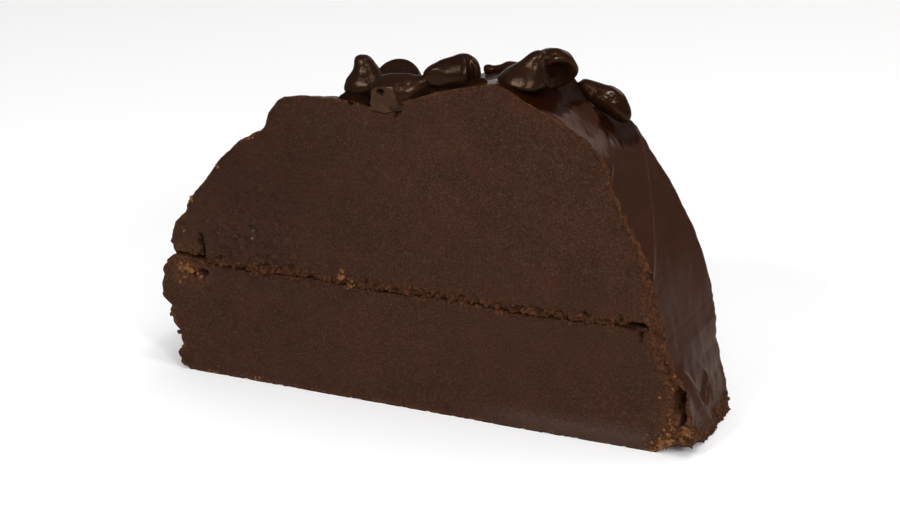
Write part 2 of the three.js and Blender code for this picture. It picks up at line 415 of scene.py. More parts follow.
def seamAngle(low, high):
    # the angle in a range at which the outline crosses the seam
    angles = np.linspace(low, high, loaf["samples"]["crossing"])
    spots = frontPoint(angles)
    return angles[np.argmin(np.abs(spots[:, 1] - seamLine(spots[:, 0])))]


rightSeam, leftSeam = (seamAngle(*ends) for ends in loaf["seam"]["crossings"])


def archAngles(start, end, count):
    # angles between two others, evenly spaced along the outline but crowded on the ridges
    samples, crowding = loaf["samples"]["arch"], loaf["crowding"]
    angles = np.linspace(start, end, samples)
    steps = np.diff(runningLength(frontPoint(angles)))
    pace = 1 + crowding["more"] * sum(bell(angles[1:], ends[0], crowding["angle"])
                                      for ends in loaf["ridges"])
    lengths = np.concatenate([[0], np.cumsum(steps * pace)])
    return np.interp(evenSteps(lengths, count), np.arange(samples), angles)


# the cut faces

def frontPit(x, z, halfX, halfZ, deep):
    # an ellipsoid that is pushed straight into the front cut
    centre = (x, -loaf["depth"] / 2, z)
    return {"centre": centre, "half": (halfX, deep, halfZ), "push": (0, 1, 0)}


cutFace = {
    # how far apart the two cuts lie in the noises
    "apart": 40,
    "swell": {"size": 24, "height": 0.14, "seed": 21, "octaves": 1},
    "grain": {"size": 1.1, "height": 0.05, "seed": 22},
    # the dragged patch on the left of the front cut, and how damp it looks
    "drag": {
        "centre": (-40, 36), "reach": (13, 9), "damp": 0.2,
        "rough": {"size": 1.1, "height": 0.34, "seed": 25, "octaves": 2},
    },
    # painted shade: the cut is darker round here, as if less lit
    "shade": {"centre": (-40, 46), "reach": (24, 24)},
    # beads scattered over the dragged patch, some of them sunk
    "beads": {
        "seed": 5, "count": 90, "spread": (6.5, 6), "radius": (0.55, 0.85), "height": 0.6,
        "shares": (-0.6, 1),
    },
    # the torn band over the seam: how far it reaches, how ragged it is, and its crumbly lumps
    "tear": {
        "reach": 1.6, "ragged": 1.1, "sunk": 0.5,
        "lumps": {"size": 1.5, "height": 1.0, "seed": 24},
    },
    # the band reaches less far below the seam
    "lip": {
        "reach": 0.45, "ragged": 0.5, "sunk": 0.2,
        "lumps": {"size": 1.5, "height": 0.5, "seed": 24},
    },
    # where the bands set in and stop, the waves of their edges (size, share and seed), how soft
    # the edges are, and the crack between them
    "bands": {
        "from": (-57, -53), "to": (51.2, 53.2), "waves": [(2.6, 1, 5), (0.9, 0.5, 6)],
        "edge": (-0.25, 0.35), "crack": {"width": 0.2, "depth": 0.35},
    },
    # the crumbly rim: its width, how much wider it is up to these angles, and its soft share
    "rim": {
        "width": 0.5, "wider": (5, 22, 60), "soft": 0.3,
        "rough": {"size": 1.8, "height": 0.75, "seed": 23},
    },
    # the swelling along the base: over which x it sets in and stops, its level, reach and depth
    "swollenBase": {"from": (8, 33), "to": (51, 56), "level": 2.4, "reach": 2.1, "depth": 0.5},
    # small nodules, [x, z, radius, height]; the scattered beads join them
    "nodules": [
        [-50.9, 36, 0.7, 0.5], [-45.8, 35.3, 0.5, 0.35], [-48, 31.9, 0.6, 0.4],
        [-40.4, 31.6, 0.6, 0.35], [-37.2, 45.5, 0.7, 0.75], [-42.1, 41.6, 0.8, 0.5],
        [-41.9, 40, 0.5, -0.6], [-45.3, 37.5, 0.5, -0.5], [-37.3, 37.2, 0.7, -0.55],
        [-50, 28.9, 0.6, 0.5], [-34.5, 30.6, 0.5, 0.4], [-33, 38.5, 0.6, -0.5],
        [-16.6, 27.9, 1.5, 1.1], [-14.4, 28.6, 0.8, 0.9], [-18.6, 27.6, 0.8, 0.8],
        [-46.5, 27.6, 0.9, 0.6], [-42.8, 27.4, 0.7, 0.6], [-39, 27.5, 1, 0.7],
        [-34, 27.4, 0.8, 0.6], [-29.5, 27.5, 1, 0.7], [-26, 27.2, 0.7, 0.6],
        [-22.5, 27.1, 0.9, 0.6], [-11, 27.3, 0.9, 0.7], [-6.5, 27.5, 0.8, 0.6],
        [-2, 27.5, 1, 0.7], [4.5, 27.6, 0.8, 0.5], [12, 27.2, 0.9, 0.6],
    ],
    # pits pushed into the slice: the cracked block at the left, the joint's right end, the two
    # holes of the right foot, and the cracks round the cut chip
    "pits": [
        frontPit(-52.4, 31.8, 0.6, 1.9, 5), frontPit(-51.9, 29.4, 0.65, 2, 5),
        frontPit(-53.6, 27.5, 2.6, 0.55, 4), frontPit(-57.2, 27.9, 1.6, 0.5, 3),
        frontPit(-52.2, 24.2, 1.3, 0.9, 3), frontPit(-54.4, 23.4, 0.9, 0.5, 2),
        frontPit(50.2, 27.6, 2.6, 0.75, 3.5), frontPit(51, 25.4, 0.5, 1.4, 1.6),
        {"centre": (59.9, -14.6, 12.2), "half": (1.25, 6, 3.6), "push": (-0.1, 0.99, 0)},
        {"centre": (60.6, -14.2, 8.2), "half": (0.8, 4, 2.4), "push": (-0.1, 0.99, 0)},
        {"centre": (62.6, -1.3, 9.2), "half": (4.6, 1.35, 2.3), "push": (-1, 0, 0)},
        frontPit(-3, 68.2, 0.3, 0.8, 2), frontPit(-3.6, 67, 0.55, 0.3, 2),
        frontPit(-4.2, 66, 0.3, 0.5, 1.6), frontPit(-7.6, 66.5, 1.5, 0.22, 1.4),
    ],
    "pitWalls": {"size": 1.5, "height": 0.22, "seed": 31},
    # the crumbled foot: the underside rises into this ellipsoid, and what is above it rises
    # less and less up to a level
    "foot": {"centre": (64.5, -15, -1.5), "half": (10, 10.5, 4.4), "fadesAt": 9},
    "edgeNicks": {"size": 1.5, "height": 0.35, "seed": 51, "above": 0.1, "reach": 2},
    # how crumbly and pale the cuts are: spots of centre and reach, the rim, the base's edge
    # between two levels, and how patchy it is round its mean
    "crumbly": {
        "spots": [((-56, 25.5), (5, 4.5)), ((62, 5), (7, 6))],
        "rim": 0.75, "base": 0.45, "baseLevels": (0.2, 1.4),
        "mean": 0.95, "patches": {"size": 2.2, "height": 0.4, "seed": 41},
    },
    # the skin's thin sawn edge: its width, how much wider it is at either end, and by which
    # shares of the width it is soft
    "sawnEdge": {"width": 0.5, "right": (0.4, 30, 75), "left": (0.3, 120, 150), "soft": (0.3, 1.6)},
}


def scatteredBeads():
    # bell curves round the middle of the patch, and even draws of radius and height
    beads, drag = cutFace["beads"], cutFace["drag"]
    chance = np.random.default_rng(beads["seed"])
    places = np.array(drag["centre"]) + chance.normal(size=(beads["count"], 2)) * beads["spread"]
    radii = chance.uniform(*beads["radius"], beads["count"])
    heights = beads["height"] * chance.uniform(*beads["shares"], beads["count"])
    return np.column_stack([places, radii, heights]).tolist()


cutFace["nodules"] += scatteredBeads()


def seamFade(x):
    # 1 along the seam, and 0 at its two ends
    bands = cutFace["bands"]
    return plateau(x, bands["from"], bands["to"])


def alongSeam(x, size, seed):
    # lattice noise that only changes along x
    return latticeNoise(np.stack([x, 0 * x, 0 * x + seed], axis=-1), size, seed)


def tornBand(x, rise, side, upper):
    # 1 in the torn band along the seam, up to a ragged edge on either side of it
    band, facts = cutFace["tear" if upper else "lip"], cutFace["bands"]
    edge = band["reach"]
    for size, share, seed in facts["waves"]:
        edge = edge + share * band["ragged"] * alongSeam(x, size, seed + side)
    low, high = facts["edge"]
    return falling(np.abs(rise), edge + low, edge + high) * seamFade(x)


def rimBand(x, z):
    # 1 on the crumbly rim, which narrows from the right foot to the crown
    rim = cutFace["rim"]
    angle, inside = fromSkin(x, z)
    wider, low, high = rim["wider"]
    width = wider * falling(angle, low, high) + rim["width"]
    return falling(inside, width * rim["soft"], width)


def swollen(x, z):
    # a soft bulge along the base: a bell curve over the height
    base = cutFace["swollenBase"]
    return plateau(x, base["from"], base["to"]) * bell(z, base["level"], base["reach"])


def cutRelief(x, z, side, upper):
    # how far a cut stands out: swell, grain, rim and torn seam less its crack, and on the front
    # also the dragged patch, the swollen base and the bell-shaped nodules
    place = np.stack([x, 0 * x + cutFace["apart"] * side, z], axis=-1)
    relief = unevenness(place, cutFace["swell"]) + unevenness(place, cutFace["grain"])
    relief = relief + rimBand(x, z) * unevenness(place, cutFace["rim"]["rough"])
    rise = z - seamLine(x)
    band, crack = cutFace["tear" if upper else "lip"], cutFace["bands"]["crack"]
    torn = unevenness(place, band["lumps"]) - band["sunk"]
    split = crack["depth"] * bell(rise, 0, crack["width"]) * seamFade(x)
    relief = relief + tornBand(x, rise, side, upper) * torn - split
    if side == 0:
        drag = cutFace["drag"]
        dragged = spot(x, z, drag["centre"], drag["reach"])
        relief = relief + dragged * unevenness(place, drag["rough"])
        relief = relief + cutFace["swollenBase"]["depth"] * swollen(x, z)
        for cx, cz, radius, height in cutFace["nodules"]:
            relief = relief + height * spot(x, z, (cx, cz), (radius, radius))
    return relief


def carve(points, pits):
    # a point inside an ellipsoid moves the pit's way to its wall, by the quadratic's larger root
    points = points.copy()
    for pit in pits:
        half = np.array(pit["half"], float)
        ragged = 1 + unevenness(points, cutFace["pitWalls"])[..., None]
        start = (points - np.array(pit["centre"])) / (half * ragged)
        push = np.array(pit["push"]) / (half * ragged)
        a = (push * push).sum(-1)
        b = (start * push).sum(-1)
        c = (start * start).sum(-1) - 1
        root = np.sqrt(np.maximum(b * b - a * c, 0))
        step = np.where(c < 0, (root - b) / a, 0)
        points += step[..., None] * np.array(pit["push"])
    return points


def footLift(x, y):
    # the underside's height: the ellipsoid's upper half over the crumbled corner
    foot = cutFace["foot"]
    across = ((x - foot["centre"][0]) / foot["half"][0]) ** 2
    across = across + ((y - foot["centre"][1]) / foot["half"][1]) ** 2
    rise = foot["half"][2] * np.sqrt(np.maximum(1 - across, 0)) + foot["centre"][2]
    return np.maximum(rise, 0)


def risen(z, lift):
    # a height near the base after the lift, which fades out up to a level
    return z + lift * falling(z, 0, cutFace["foot"]["fadesAt"])


def crumbleMask(x, y, z):
    # the largest of the crumbly spots, the rim and the base's edge, times patchy noise
    facts = cutFace["crumbly"]
    masks = [facts["rim"] * rimBand(x, z), facts["base"] * falling(z, *facts["baseLevels"])]
    masks += [spot(x, z, centre, reach) for centre, reach in facts["spots"]]
    patchy = facts["mean"] + unevenness(np.stack([x, y, z], axis=-1), facts["patches"])
    return np.clip(np.maximum.reduce(masks) * patchy, 0, 1)


def sawnEdgeMask(x, z):
    # 1 on the skin's thin sawn edge, which is wider at both ends of the arch
    edge = cutFace["sawnEdge"]
    angle, inside = fromSkin(x, z)
    (right, *rightAngles), (left, *leftAngles) = edge["right"], edge["left"]
    width = edge["width"] + right * falling(angle, *rightAngles)
    width = width + left * smoothstep(angle, *leftAngles)
    low, high = edge["soft"]
    return falling(inside, low * width, high * width)


# the finishes of a pour: its cut faces, its skin, and the skin under the chips with their shade and dark
# reflection painted on it
cutSlot, skinSlot, chipShadeSlot = range(3)


def cutPatch(x, z, side, upper):
    # the flat grid worked at its end of the loaf, then raised by the relief and carved
    workedX, workedZ = workPoint(x, z, float(side))
    outward = (-1, 1)[side]
    y = outward * (loaf["depth"] / 2 + cutRelief(x, z, side, upper))
    points = np.stack([workedX, y, workedZ], axis=-1)
    drag, shade = cutFace["drag"], cutFace["shade"]
    dragged = (1 - side) * drag["damp"] * spot(x, z, drag["centre"], drag["reach"])
    marks = {
        "crumble": crumbleMask(x, y, z),
        "seam": tornBand(x, z - seamLine(x), side, upper),
        "rim": sawnEdgeMask(x, z),
        "damp": np.maximum(swollen(x, z), dragged),
        # painted shade over the upper left of the front cut
        "shade": spot(x, z, shade["centre"], shade["reach"]),
    }
    return {"points": carve(points, cutFace["pits"]), "finish": cutSlot, "marks": marks}


# the skin between the cuts

chipShadeOnSkin = {
    # the band under the chips on the crown's right side, where their shade and dark reflection are
    # painted, by angle, and its edge; its lower end lies higher near the two cuts: how much, and over
    # what depths
    "band": (66, 76), "edge": 0.4, "ragged": {"size": 3.2, "height": 0.8, "seed": 45},
    "atFront": (2.2, -14, -11), "atBack": (3.6, 4, 15),
    # the patch of painted shade and dark reflection under the right chip: its middle on the plan, its
    # half sizes, how ragged and how soft its edge is, and the level that it stays above
    "shadePool": {
        "centre": (38, 6), "half": (3.8, 8.8), "ragged": 0.2, "edge": (0.85, 1), "above": 30,
    },
}


def chipShadeMask(points):
    # 1 where the chips' shade and dark reflection are painted on the skin, with a ragged edge
    x, y, z = np.moveaxis(points, -1, 0)
    rough = unevenness(points, chipShadeOnSkin["ragged"])
    angle = np.degrees(np.arctan2(z, x)) + rough
    low, high = chipShadeOnSkin["band"]
    edge = chipShadeOnSkin["edge"]
    front, back = chipShadeOnSkin["atFront"], chipShadeOnSkin["atBack"]
    low = low + front[0] * falling(y, *front[1:]) + back[0] * smoothstep(y, *back[1:])
    band = plateau(angle, (low - edge, low), (high, high + 2 * edge))
    shadePool = chipShadeOnSkin["shadePool"]
    across = np.hypot((x - shadePool["centre"][0]) / shadePool["half"][0],
                      (y - shadePool["centre"][1]) / shadePool["half"][1])
    spread = falling(across + shadePool["ragged"] * rough, *shadePool["edge"])
    return np.maximum(band, spread * (z > shadePool["above"]))


folds = {
    # soft folds beside the holes of the right foot: height, width and a line of (y, z)
    "lines": [
        (0.95, 1.3, [(-11.8, 17), (-8.6, 11.7), (-5.8, 8.2), (-1.4, 3.4)]),
        (0.85, 0.9, [(1.2, 12.4), (-2.4, 10.6), (-5.8, 8.2)]),
        (0.6, 0.8, [(1.8, 11.5), (2.8, 6.9)]),
    ],
    # they are on the right flank only, and fade out at the base and at the front cut
    "beyondX": 50, "baseFade": (0.5, 3), "cutFade": (-13.5, -11),
}


def foldRise(points):
    # how far the folds stand out: a bell curve over the distance to their lines
    x, y, z = np.moveaxis(points, -1, 0)
    rise = 0 * x
    for height, width, line in folds["lines"]:
        for start, end in zip(line, line[1:]):
            run, climb = end[0] - start[0], end[1] - start[1]
            share = ((y - start[0]) * run + (z - start[1]) * climb) / (run * run + climb * climb)
            share = np.clip(share, 0, 1)
            distance = np.hypot(y - start[0] - share * run, z - start[1] - share * climb)
            rise = np.maximum(rise, height * bell(distance, 0, width))
    place = (x > folds["beyondX"]) * smoothstep(z, *folds["baseFade"])
    return rise * place * smoothstep(y, *folds["cutFade"])


def between(cuts, edge, plain, count, worked):
    # rows from an edge of the front cut to the same edge of the back cut; on the skin each is
    # worked at its own depth
    share = np.linspace(0, 1, count)[:, None]
    front, back = (cut["points"][edge][None] for cut in cuts)
    points = mix(front, back, share[..., None])
    plainX, plainZ = (values[edge][None] + 0 * share for values in plain)
    angle = np.degrees(np.arctan2(plainZ, plainX))
    flaky = 0 * angle
    if worked:
        x, z = workPoint(plainX, plainZ, share)
        inner = np.stack([x, points[..., 1], z], axis=-1)[1:-1]
        inner[..., 0] += foldRise(inner)
        points[1:-1] = carve(inner, cutFace["pits"])
        flaky = flakiness(angle)
    drawn = smoothstep(points[..., 0], *loaf["drawn"]["x"])
    drawn = drawn * falling(points[..., 2], *loaf["drawn"]["z"])
    melt = chipShadeMask(points)
    # cells that lie mostly in the painted chip shade take the third finish
    melted = melt[1:, 1:] + melt[:-1, :-1] > 0.5
    finish = np.where(melted, chipShadeSlot, skinSlot) if worked else cutSlot
    marks = {"crumble": flaky, "drawn": drawn, "melt": melt}
    return {"points": points, "finish": finish, "marks": marks}


def easeEnds(patch, first, last, reach=0.12):
    # moves a patch's end columns onto two edges, and its other columns less and less
    points = patch["points"]
    at = np.linspace(0, 1, points.shape[1])
    for edge, weight in ((first - points[:, 0], falling(at, 0, reach)),
                         (last - points[:, -1], smoothstep(at, 1 - reach, 1))):
        points += edge[:, None] * weight[None, :, None]


# the upper pour

upperPour = {"columns": 380, "rows": 112, "backRows": 42, "depthRows": 46, "ends": 0.3}


def upperPlain(rows):
    # straight lines from the seam's points to the outline's, both evenly spaced
    arch = frontPoint(archAngles(rightSeam, leftSeam, upperPour["columns"]))
    seamX = np.linspace(arch[0, 0], arch[-1, 0], upperPour["columns"])
    seamZ = seamLine(seamX) + seamGap(seamX)
    seamZ[0], seamZ[-1] = arch[0, 1], arch[-1, 1]
    rise = stretched(rows, upperPour["ends"])[:, None]
    return mix(seamX[None], arch[None, :, 0], rise), mix(seamZ[None], arch[None, :, 1], rise)


def upperPatches():
    # the two cuts, the skin between their outermost rows and the underside between their first
    plain = upperPlain(upperPour["rows"])
    cuts = cutPatch(*plain, 0, True), cutPatch(*upperPlain(upperPour["backRows"]), 1, True)
    under = between(cuts, 0, plain, upperPour["depthRows"], False)
    skin = between(cuts, -1, plain, upperPour["depthRows"], True)
    easeEnds(under, skin["points"][:, 0], skin["points"][:, -1])
    return [*cuts, skin, under]


# the lower pour

lowerPour = {"columns": 360, "rows": 72, "depthRows": 46, "ends": 0.42}


def lowerPlain():
    # a Coons patch between the base, the seam and the two flanks
    u = stretched(lowerPour["columns"], lowerPour["ends"])[None, :, None]
    rise = stretched(lowerPour["rows"], lowerPour["ends"])
    v = rise[:, None, None]
    samples = loaf["samples"]["flank"]
    fine = np.linspace(0, 1, samples)
    left, right = (frontPoint(np.interp(rise, fine, archAngles(start, end, samples)))[:, None]
                   for start, end in ((180, leftSeam), (0, rightSeam)))
    base = mix(left[:1], right[:1], u)
    seamX = mix(left[-1:, :, 0], right[-1:, :, 0], u[..., 0])
    seam = np.stack([seamX, seamLine(seamX) - seamGap(seamX)], axis=-1)
    seam[0, 0], seam[0, -1] = left[-1, 0], right[-1, 0]
    corners = mix(mix(left[:1], right[:1], u), mix(left[-1:], right[-1:], u), v)
    plain = mix(base, seam, v) + mix(left, right, u) - corners
    return plain[..., 0], plain[..., 1]


def nicks(x, y):
    # small chips out of the base's edges, which fade out under the slice
    facts = cutFace["edgeNicks"]
    place = np.stack([x, y, 0 * x], axis=-1)
    rough = np.maximum(roughNoise(place, facts["size"], facts["seed"]) - facts["above"], 0)
    edge = smoothstep(np.abs(y), loaf["depth"] / 2 - facts["reach"], loaf["depth"] / 2)
    return facts["height"] * rough * edge


def liftFoot(patch):
    # everything near the base rises with the crumbled foot and the nicks
    points = patch["points"]
    x, y, z = np.moveaxis(points, -1, 0)
    points[..., 2] = risen(z, footLift(x, y) + nicks(x, y))
    return patch


def lowerPatches():
    # the two cuts, the flanks between their end columns, and the base and top between their end rows
    plain = lowerPlain()
    cuts = cutPatch(*plain, 0, False), cutPatch(*plain, 1, False)
    left, right, top, base = (
        between(cuts, edge, plain, lowerPour["depthRows"], worked)
        for edge, worked in ((np.s_[:, 0], True), (np.s_[:, -1], True), (-1, False), (0, False)))
    easeEnds(base, left["points"][:, 0], right["points"][:, 0])
    easeEnds(top, left["points"][:, -1], right["points"][:, -1])
    return [liftFoot(patch) for patch in (*cuts, left, right, top, base)]


# node helpers

def addNode(tree, kind, values=None, **settings):
    # a node with its own settings, whose inputs are fed from a dictionary
    node = tree.nodes.new("ShaderNode" + kind)
    for key, value in settings.items():
        setattr(node, key, value)
    feed(tree, node, values or {})
    return node


def feed(tree, node, values):
    # gives a node's inputs plain values, or links the sockets that feed them
    for key, value in values.items():
        if isinstance(value, bpy.types.NodeSocket):
            tree.links.new(value, node.inputs[key])
        else:
            node.inputs[key].default_value = value


def newGroup(name, inputs, outputs):
    # an empty group with its named inputs, their starting values and its outputs
    group = bpy.data.node_groups.new(name, "ShaderNodeTree")
    for label, kind, value in inputs:
        socket = group.interface.new_socket(label, in_out="INPUT", socket_type=kind)
        if value is not None:
            socket.default_value = value
    for label, kind in outputs:
        group.interface.new_socket(label, in_out="OUTPUT", socket_type=kind)
    return group, group.nodes.new("NodeGroupInput").outputs, group.nodes.new("NodeGroupOutput")


def noise(tree, vector, values):
    # a noise texture's value, with its settings from a dictionary
    return addNode(tree, "TexNoise", {"Vector": vector, **values}).outputs["Fac"]


def ranged(tree, value, fromMin, fromMax, toMin=0.0, toMax=1.0):
    # takes a value from one range to another in a straight line, held at both ends
    return addNode(tree, "MapRange", {
        "Value": value, "From Min": fromMin, "From Max": fromMax, "To Min": toMin, "To Max": toMax,
    }).outputs["Result"]


def math2(tree, operation, first, second):
    # one operation on two sockets or plain numbers
    return addNode(tree, "Math", {0: first, 1: second}, operation=operation).outputs[0]


def times(tree, first, *others):
    # the product of sockets and plain numbers
    for other in others:
        first = math2(tree, "MULTIPLY", first, other)
    return first


def blend(tree, factor, first, second, kind="RGBA"):
    # mixes two values or sockets of one kind by a factor socket
    low, high, out = {"RGBA": (6, 7, 2), "FLOAT": (2, 3, 0)}[kind]
    values = {"Factor": factor, low: first, high: second}
    return addNode(tree, "Mix", values, data_type=kind).outputs[out]


def layered(tree, color, layers):
    # lays colours over the first one, one after another, each by its own mask
    for mask, over in layers:
        color = blend(tree, mask, color, over)
    return color


def mark(tree, name):
    # a mask that the mesh carries
    return addNode(tree, "Attribute", attribute_name=name).outputs["Fac"]


def bump(tree, shader, height, distance, under=None):
    # tilts the shader's normal along a height's slopes, over another bump where one is given
    node = addNode(tree, "Bump", {"Distance": distance, "Height": height})
    if under:
        feed(tree, node, {"Normal": under})
    feed(tree, shader, {"Normal": node.outputs["Normal"]})
    return node.outputs["Normal"]


def newMaterial(name):
    # a material with one shader, and the object's own coordinates
    material = bpy.data.materials.new(name)
    material.use_nodes = True
    tree = material.node_tree
    tree.nodes.clear()
    shader = addNode(tree, "BsdfPrincipled")
    addNode(tree, "OutputMaterial", {"Surface": shader.outputs["BSDF"]})
    place = addNode(tree, "TexCoord").outputs["Object"]
    return material, tree, shader, place


# effects that several finishes share

effects = {
    # the mottle's noises, the ranges in which they show, and how much finer its flecks are
    "clouds": {"Detail": 4.0, "Roughness": 0.55}, "cloudRange": (0.42, 0.62),
    "flecks": {"Detail": 3.0, "Roughness": 0.6}, "fleckRange": (0.45, 0.7), "fleckRate": 9.0,
    # the grain's two noises, and how much finer the second is
    "broad": {"Detail": 3.0, "Roughness": 0.6}, "fine": {"Detail": 2.0, "Roughness": 0.7},
    "fineRate": 3.1,
}


def makeMottleGroup():
    # three shades, blended by broad clouds and by finer flecks
    group, given, result = newGroup("fudgeMottle", [
        ("Vector", "NodeSocketVector", None), ("Cloud Size", "NodeSocketFloat", 0.02),
        ("Main", "NodeSocketColor", tone(64, 44, 35)), ("Cloud", "NodeSocketColor", tone(66, 40, 34)),
        ("Fleck", "NodeSocketColor", tone(54, 37, 29)), ("Cloud Amount", "NodeSocketFloat", 0.7),
        ("Fleck Amount", "NodeSocketFloat", 0.4),
    ], [("Color", "NodeSocketColor")])
    rate = math2(group, "DIVIDE", 1.0, given["Cloud Size"])
    fine = times(group, rate, effects["fleckRate"])
    clouds = noise(group, given["Vector"], {"Scale": rate, **effects["clouds"]})
    flecks = noise(group, given["Vector"], {"Scale": fine, **effects["flecks"]})
    cloudy = ranged(group, clouds, *effects["cloudRange"], 0.0, given["Cloud Amount"])
    flecked = ranged(group, flecks, *effects["fleckRange"], 0.0, given["Fleck Amount"])
    shades = [(cloudy, given["Cloud"]), (flecked, given["Fleck"])]
    feed(group, result, {"Color": layered(group, given["Main"], shades)})
    return group


def makeSpeckGroup():
    # small grains: 1 near the middle of the cells that a chance value picks out
    group, given, result = newGroup("sugarSpecks", [
        ("Vector", "NodeSocketVector", None), ("Grains per Metre", "NodeSocketFloat", 1500.0),
        ("Share", "NodeSocketFloat", 0.1), ("Size", "NodeSocketFloat", 0.35),
    ], [("Mask", "NodeSocketFloat")])
    cells = addNode(group, "TexVoronoi",
                    {"Vector": given["Vector"], "Scale": given["Grains per Metre"]}).outputs
    chance = addNode(group, "SeparateColor", {"Color": cells["Color"]}).outputs["Red"]
    picked = math2(group, "LESS_THAN", chance, given["Share"])
    near = ranged(group, cells["Distance"], 0.0, given["Size"], 1.0, 0.0)
    feed(group, result, {"Mask": times(group, picked, near)})
    return group


def makeGrainGroup():
    # a height from two sizes of noise, the finer one weaker
    group, given, result = newGroup("fudgeGrain", [
        ("Vector", "NodeSocketVector", None), ("Grains per Metre", "NodeSocketFloat", 900.0),
        ("Fine Amount", "NodeSocketFloat", 0.5),
    ], [("Height", "NodeSocketFloat")])
    rate = times(group, given["Grains per Metre"], effects["fineRate"])
    broad = noise(group, given["Vector"], {"Scale": given["Grains per Metre"], **effects["broad"]})
    fine = noise(group, given["Vector"], {"Scale": rate, **effects["fine"]})
    weak = times(group, fine, given["Fine Amount"])
    feed(group, result, {"Height": math2(group, "ADD", broad, weak)})
    return group


mottleGroup = makeMottleGroup()
speckGroup = makeSpeckGroup()
grainGroup = makeGrainGroup()
print("shared effects ready")


def useGroup(tree, group, vector, values):
    # places a shared effect and returns its one output
    node = tree.nodes.new("ShaderNodeGroup")
    node.node_tree = group
    feed(tree, node, {"Vector": vector, **values})
    return node.outputs[0]


def mottled(tree, place, shades, values):
    # the shared mottle in a finish's own three shades
    return useGroup(tree, mottleGroup, place, {
        "Main": shades["main"], "Cloud": shades["cloud"], "Fleck": shades["fleck"], **values,
    })


# the finish of the cuts

cutFinish = {
    "main": tone(53, 32, 22), "cloud": tone(46, 29, 19), "fleck": tone(39, 22, 14),
    "blotch": tone(61, 32, 23), "crumbly": tone(87, 53, 32), "golden": tone(112, 77, 46),
    "torn": tone(70, 42, 27), "tornLight": tone(98, 62, 37), "edge": tone(95, 58, 33),
    "speck": tone(79, 56, 44), "sheen": tone(255, 228, 206), "specular": 0.12,
    "roughness": 0.5, "dampRoughness": 0.36, "wetRoughness": 0.3,
    "dampCoat": 0.9, "coatRoughness": 0.22,
    "mottle": {"Cloud Size": 0.02, "Cloud Amount": 0.8, "Fleck Amount": 0.55},
    "specks": {"Grains per Metre": 1500.0, "Share": 0.42, "Size": 0.4},
    "gold": {"Grains per Metre": 900.0, "Share": 0.35, "Size": 0.55},
    "flour": {"Scale": 1300.0, "Detail": 4.0},
    "blotches": {"Scale": 110.0, "Detail": 4.0, "Roughness": 0.6},
    "dust": {"Scale": 2900.0, "Detail": 2.0, "Roughness": 0.7},
    # the range of its noise in which each effect shows, and how much
    "broken": (0.38, 0.6), "wet": (0.5, 0.62), "red": (0.44, 0.66, 0.0, 0.75),
    "patchy": (0.42, 0.6, 0.05, 0.8), "dusty": (0.5, 0.72, 0.0, 0.95), "pored": (0.3, 0.46, 0.65, 0.0),
    "speckAmount": 0.3, "goldAmount": 0.8, "paintedShadeAmount": 0.38,
    "grain": {"Grains per Metre": 1700.0, "Fine Amount": 0.5},
    "grainDepth": 0.00042, "crumbleDepth": 0.0005,
}


def makeCutFinish(name, finish):
    # mottled fudge with blotches, dust, pores and specks, paler where it is crumbly or torn, and with
    # painted shade at its upper left
    material, tree, shader, place = newMaterial(name)
    flour, blotches, dust = (noise(tree, place, finish[key]) for key in ("flour", "blotches", "dust"))
    crumble, seam, rim, damp, shade = (
        mark(tree, key) for key in ("crumble", "seam", "rim", "damp", "shade"))
    specks = useGroup(tree, speckGroup, place, finish["specks"])
    gold = useGroup(tree, speckGroup, place, finish["gold"])
    broken = ranged(tree, flour, *finish["broken"])
    patchy = ranged(tree, blotches, *finish["patchy"])
    color = layered(tree, mottled(tree, place, finish, finish["mottle"]), [
        (ranged(tree, blotches, *finish["red"]), finish["blotch"]),
        (ranged(tree, dust, *finish["dusty"]), finish["speck"]),
        (ranged(tree, dust, *finish["pored"]), finish["fleck"]),
        (times(tree, specks, finish["speckAmount"]), finish["speck"]),
        # painted shade darkens the front cut's upper left
        (times(tree, shade, finish["paintedShadeAmount"]), finish["fleck"]),
        (times(tree, crumble, broken), finish["crumbly"]),
        (times(tree, crumble, gold, finish["goldAmount"]), finish["golden"]),
        (times(tree, seam, broken), finish["torn"]),
        (times(tree, seam, gold, finish["goldAmount"]), finish["tornLight"]),
        (times(tree, rim, broken, patchy), finish["edge"]),
    ])
    wet = times(tree, seam, ranged(tree, flour, *finish["wet"]))
    rough = blend(tree, damp, finish["roughness"], finish["dampRoughness"], "FLOAT")
    feed(tree, shader, {
        "Base Color": color, "Roughness": blend(tree, wet, rough, finish["wetRoughness"], "FLOAT"),
        "Coat Weight": times(tree, damp, finish["dampCoat"]),
        "Coat Roughness": finish["coatRoughness"],
        "Specular IOR Level": finish["specular"], "Specular Tint": finish["sheen"],
    })
    grain = useGroup(tree, grainGroup, place, finish["grain"])
    fine = bump(tree, shader, grain, finish["grainDepth"])
    loose = math2(tree, "MAXIMUM", crumble, seam)
    bump(tree, shader, times(tree, loose, flour), finish["crumbleDepth"], under=fine)
    return material


# the finish of the skin

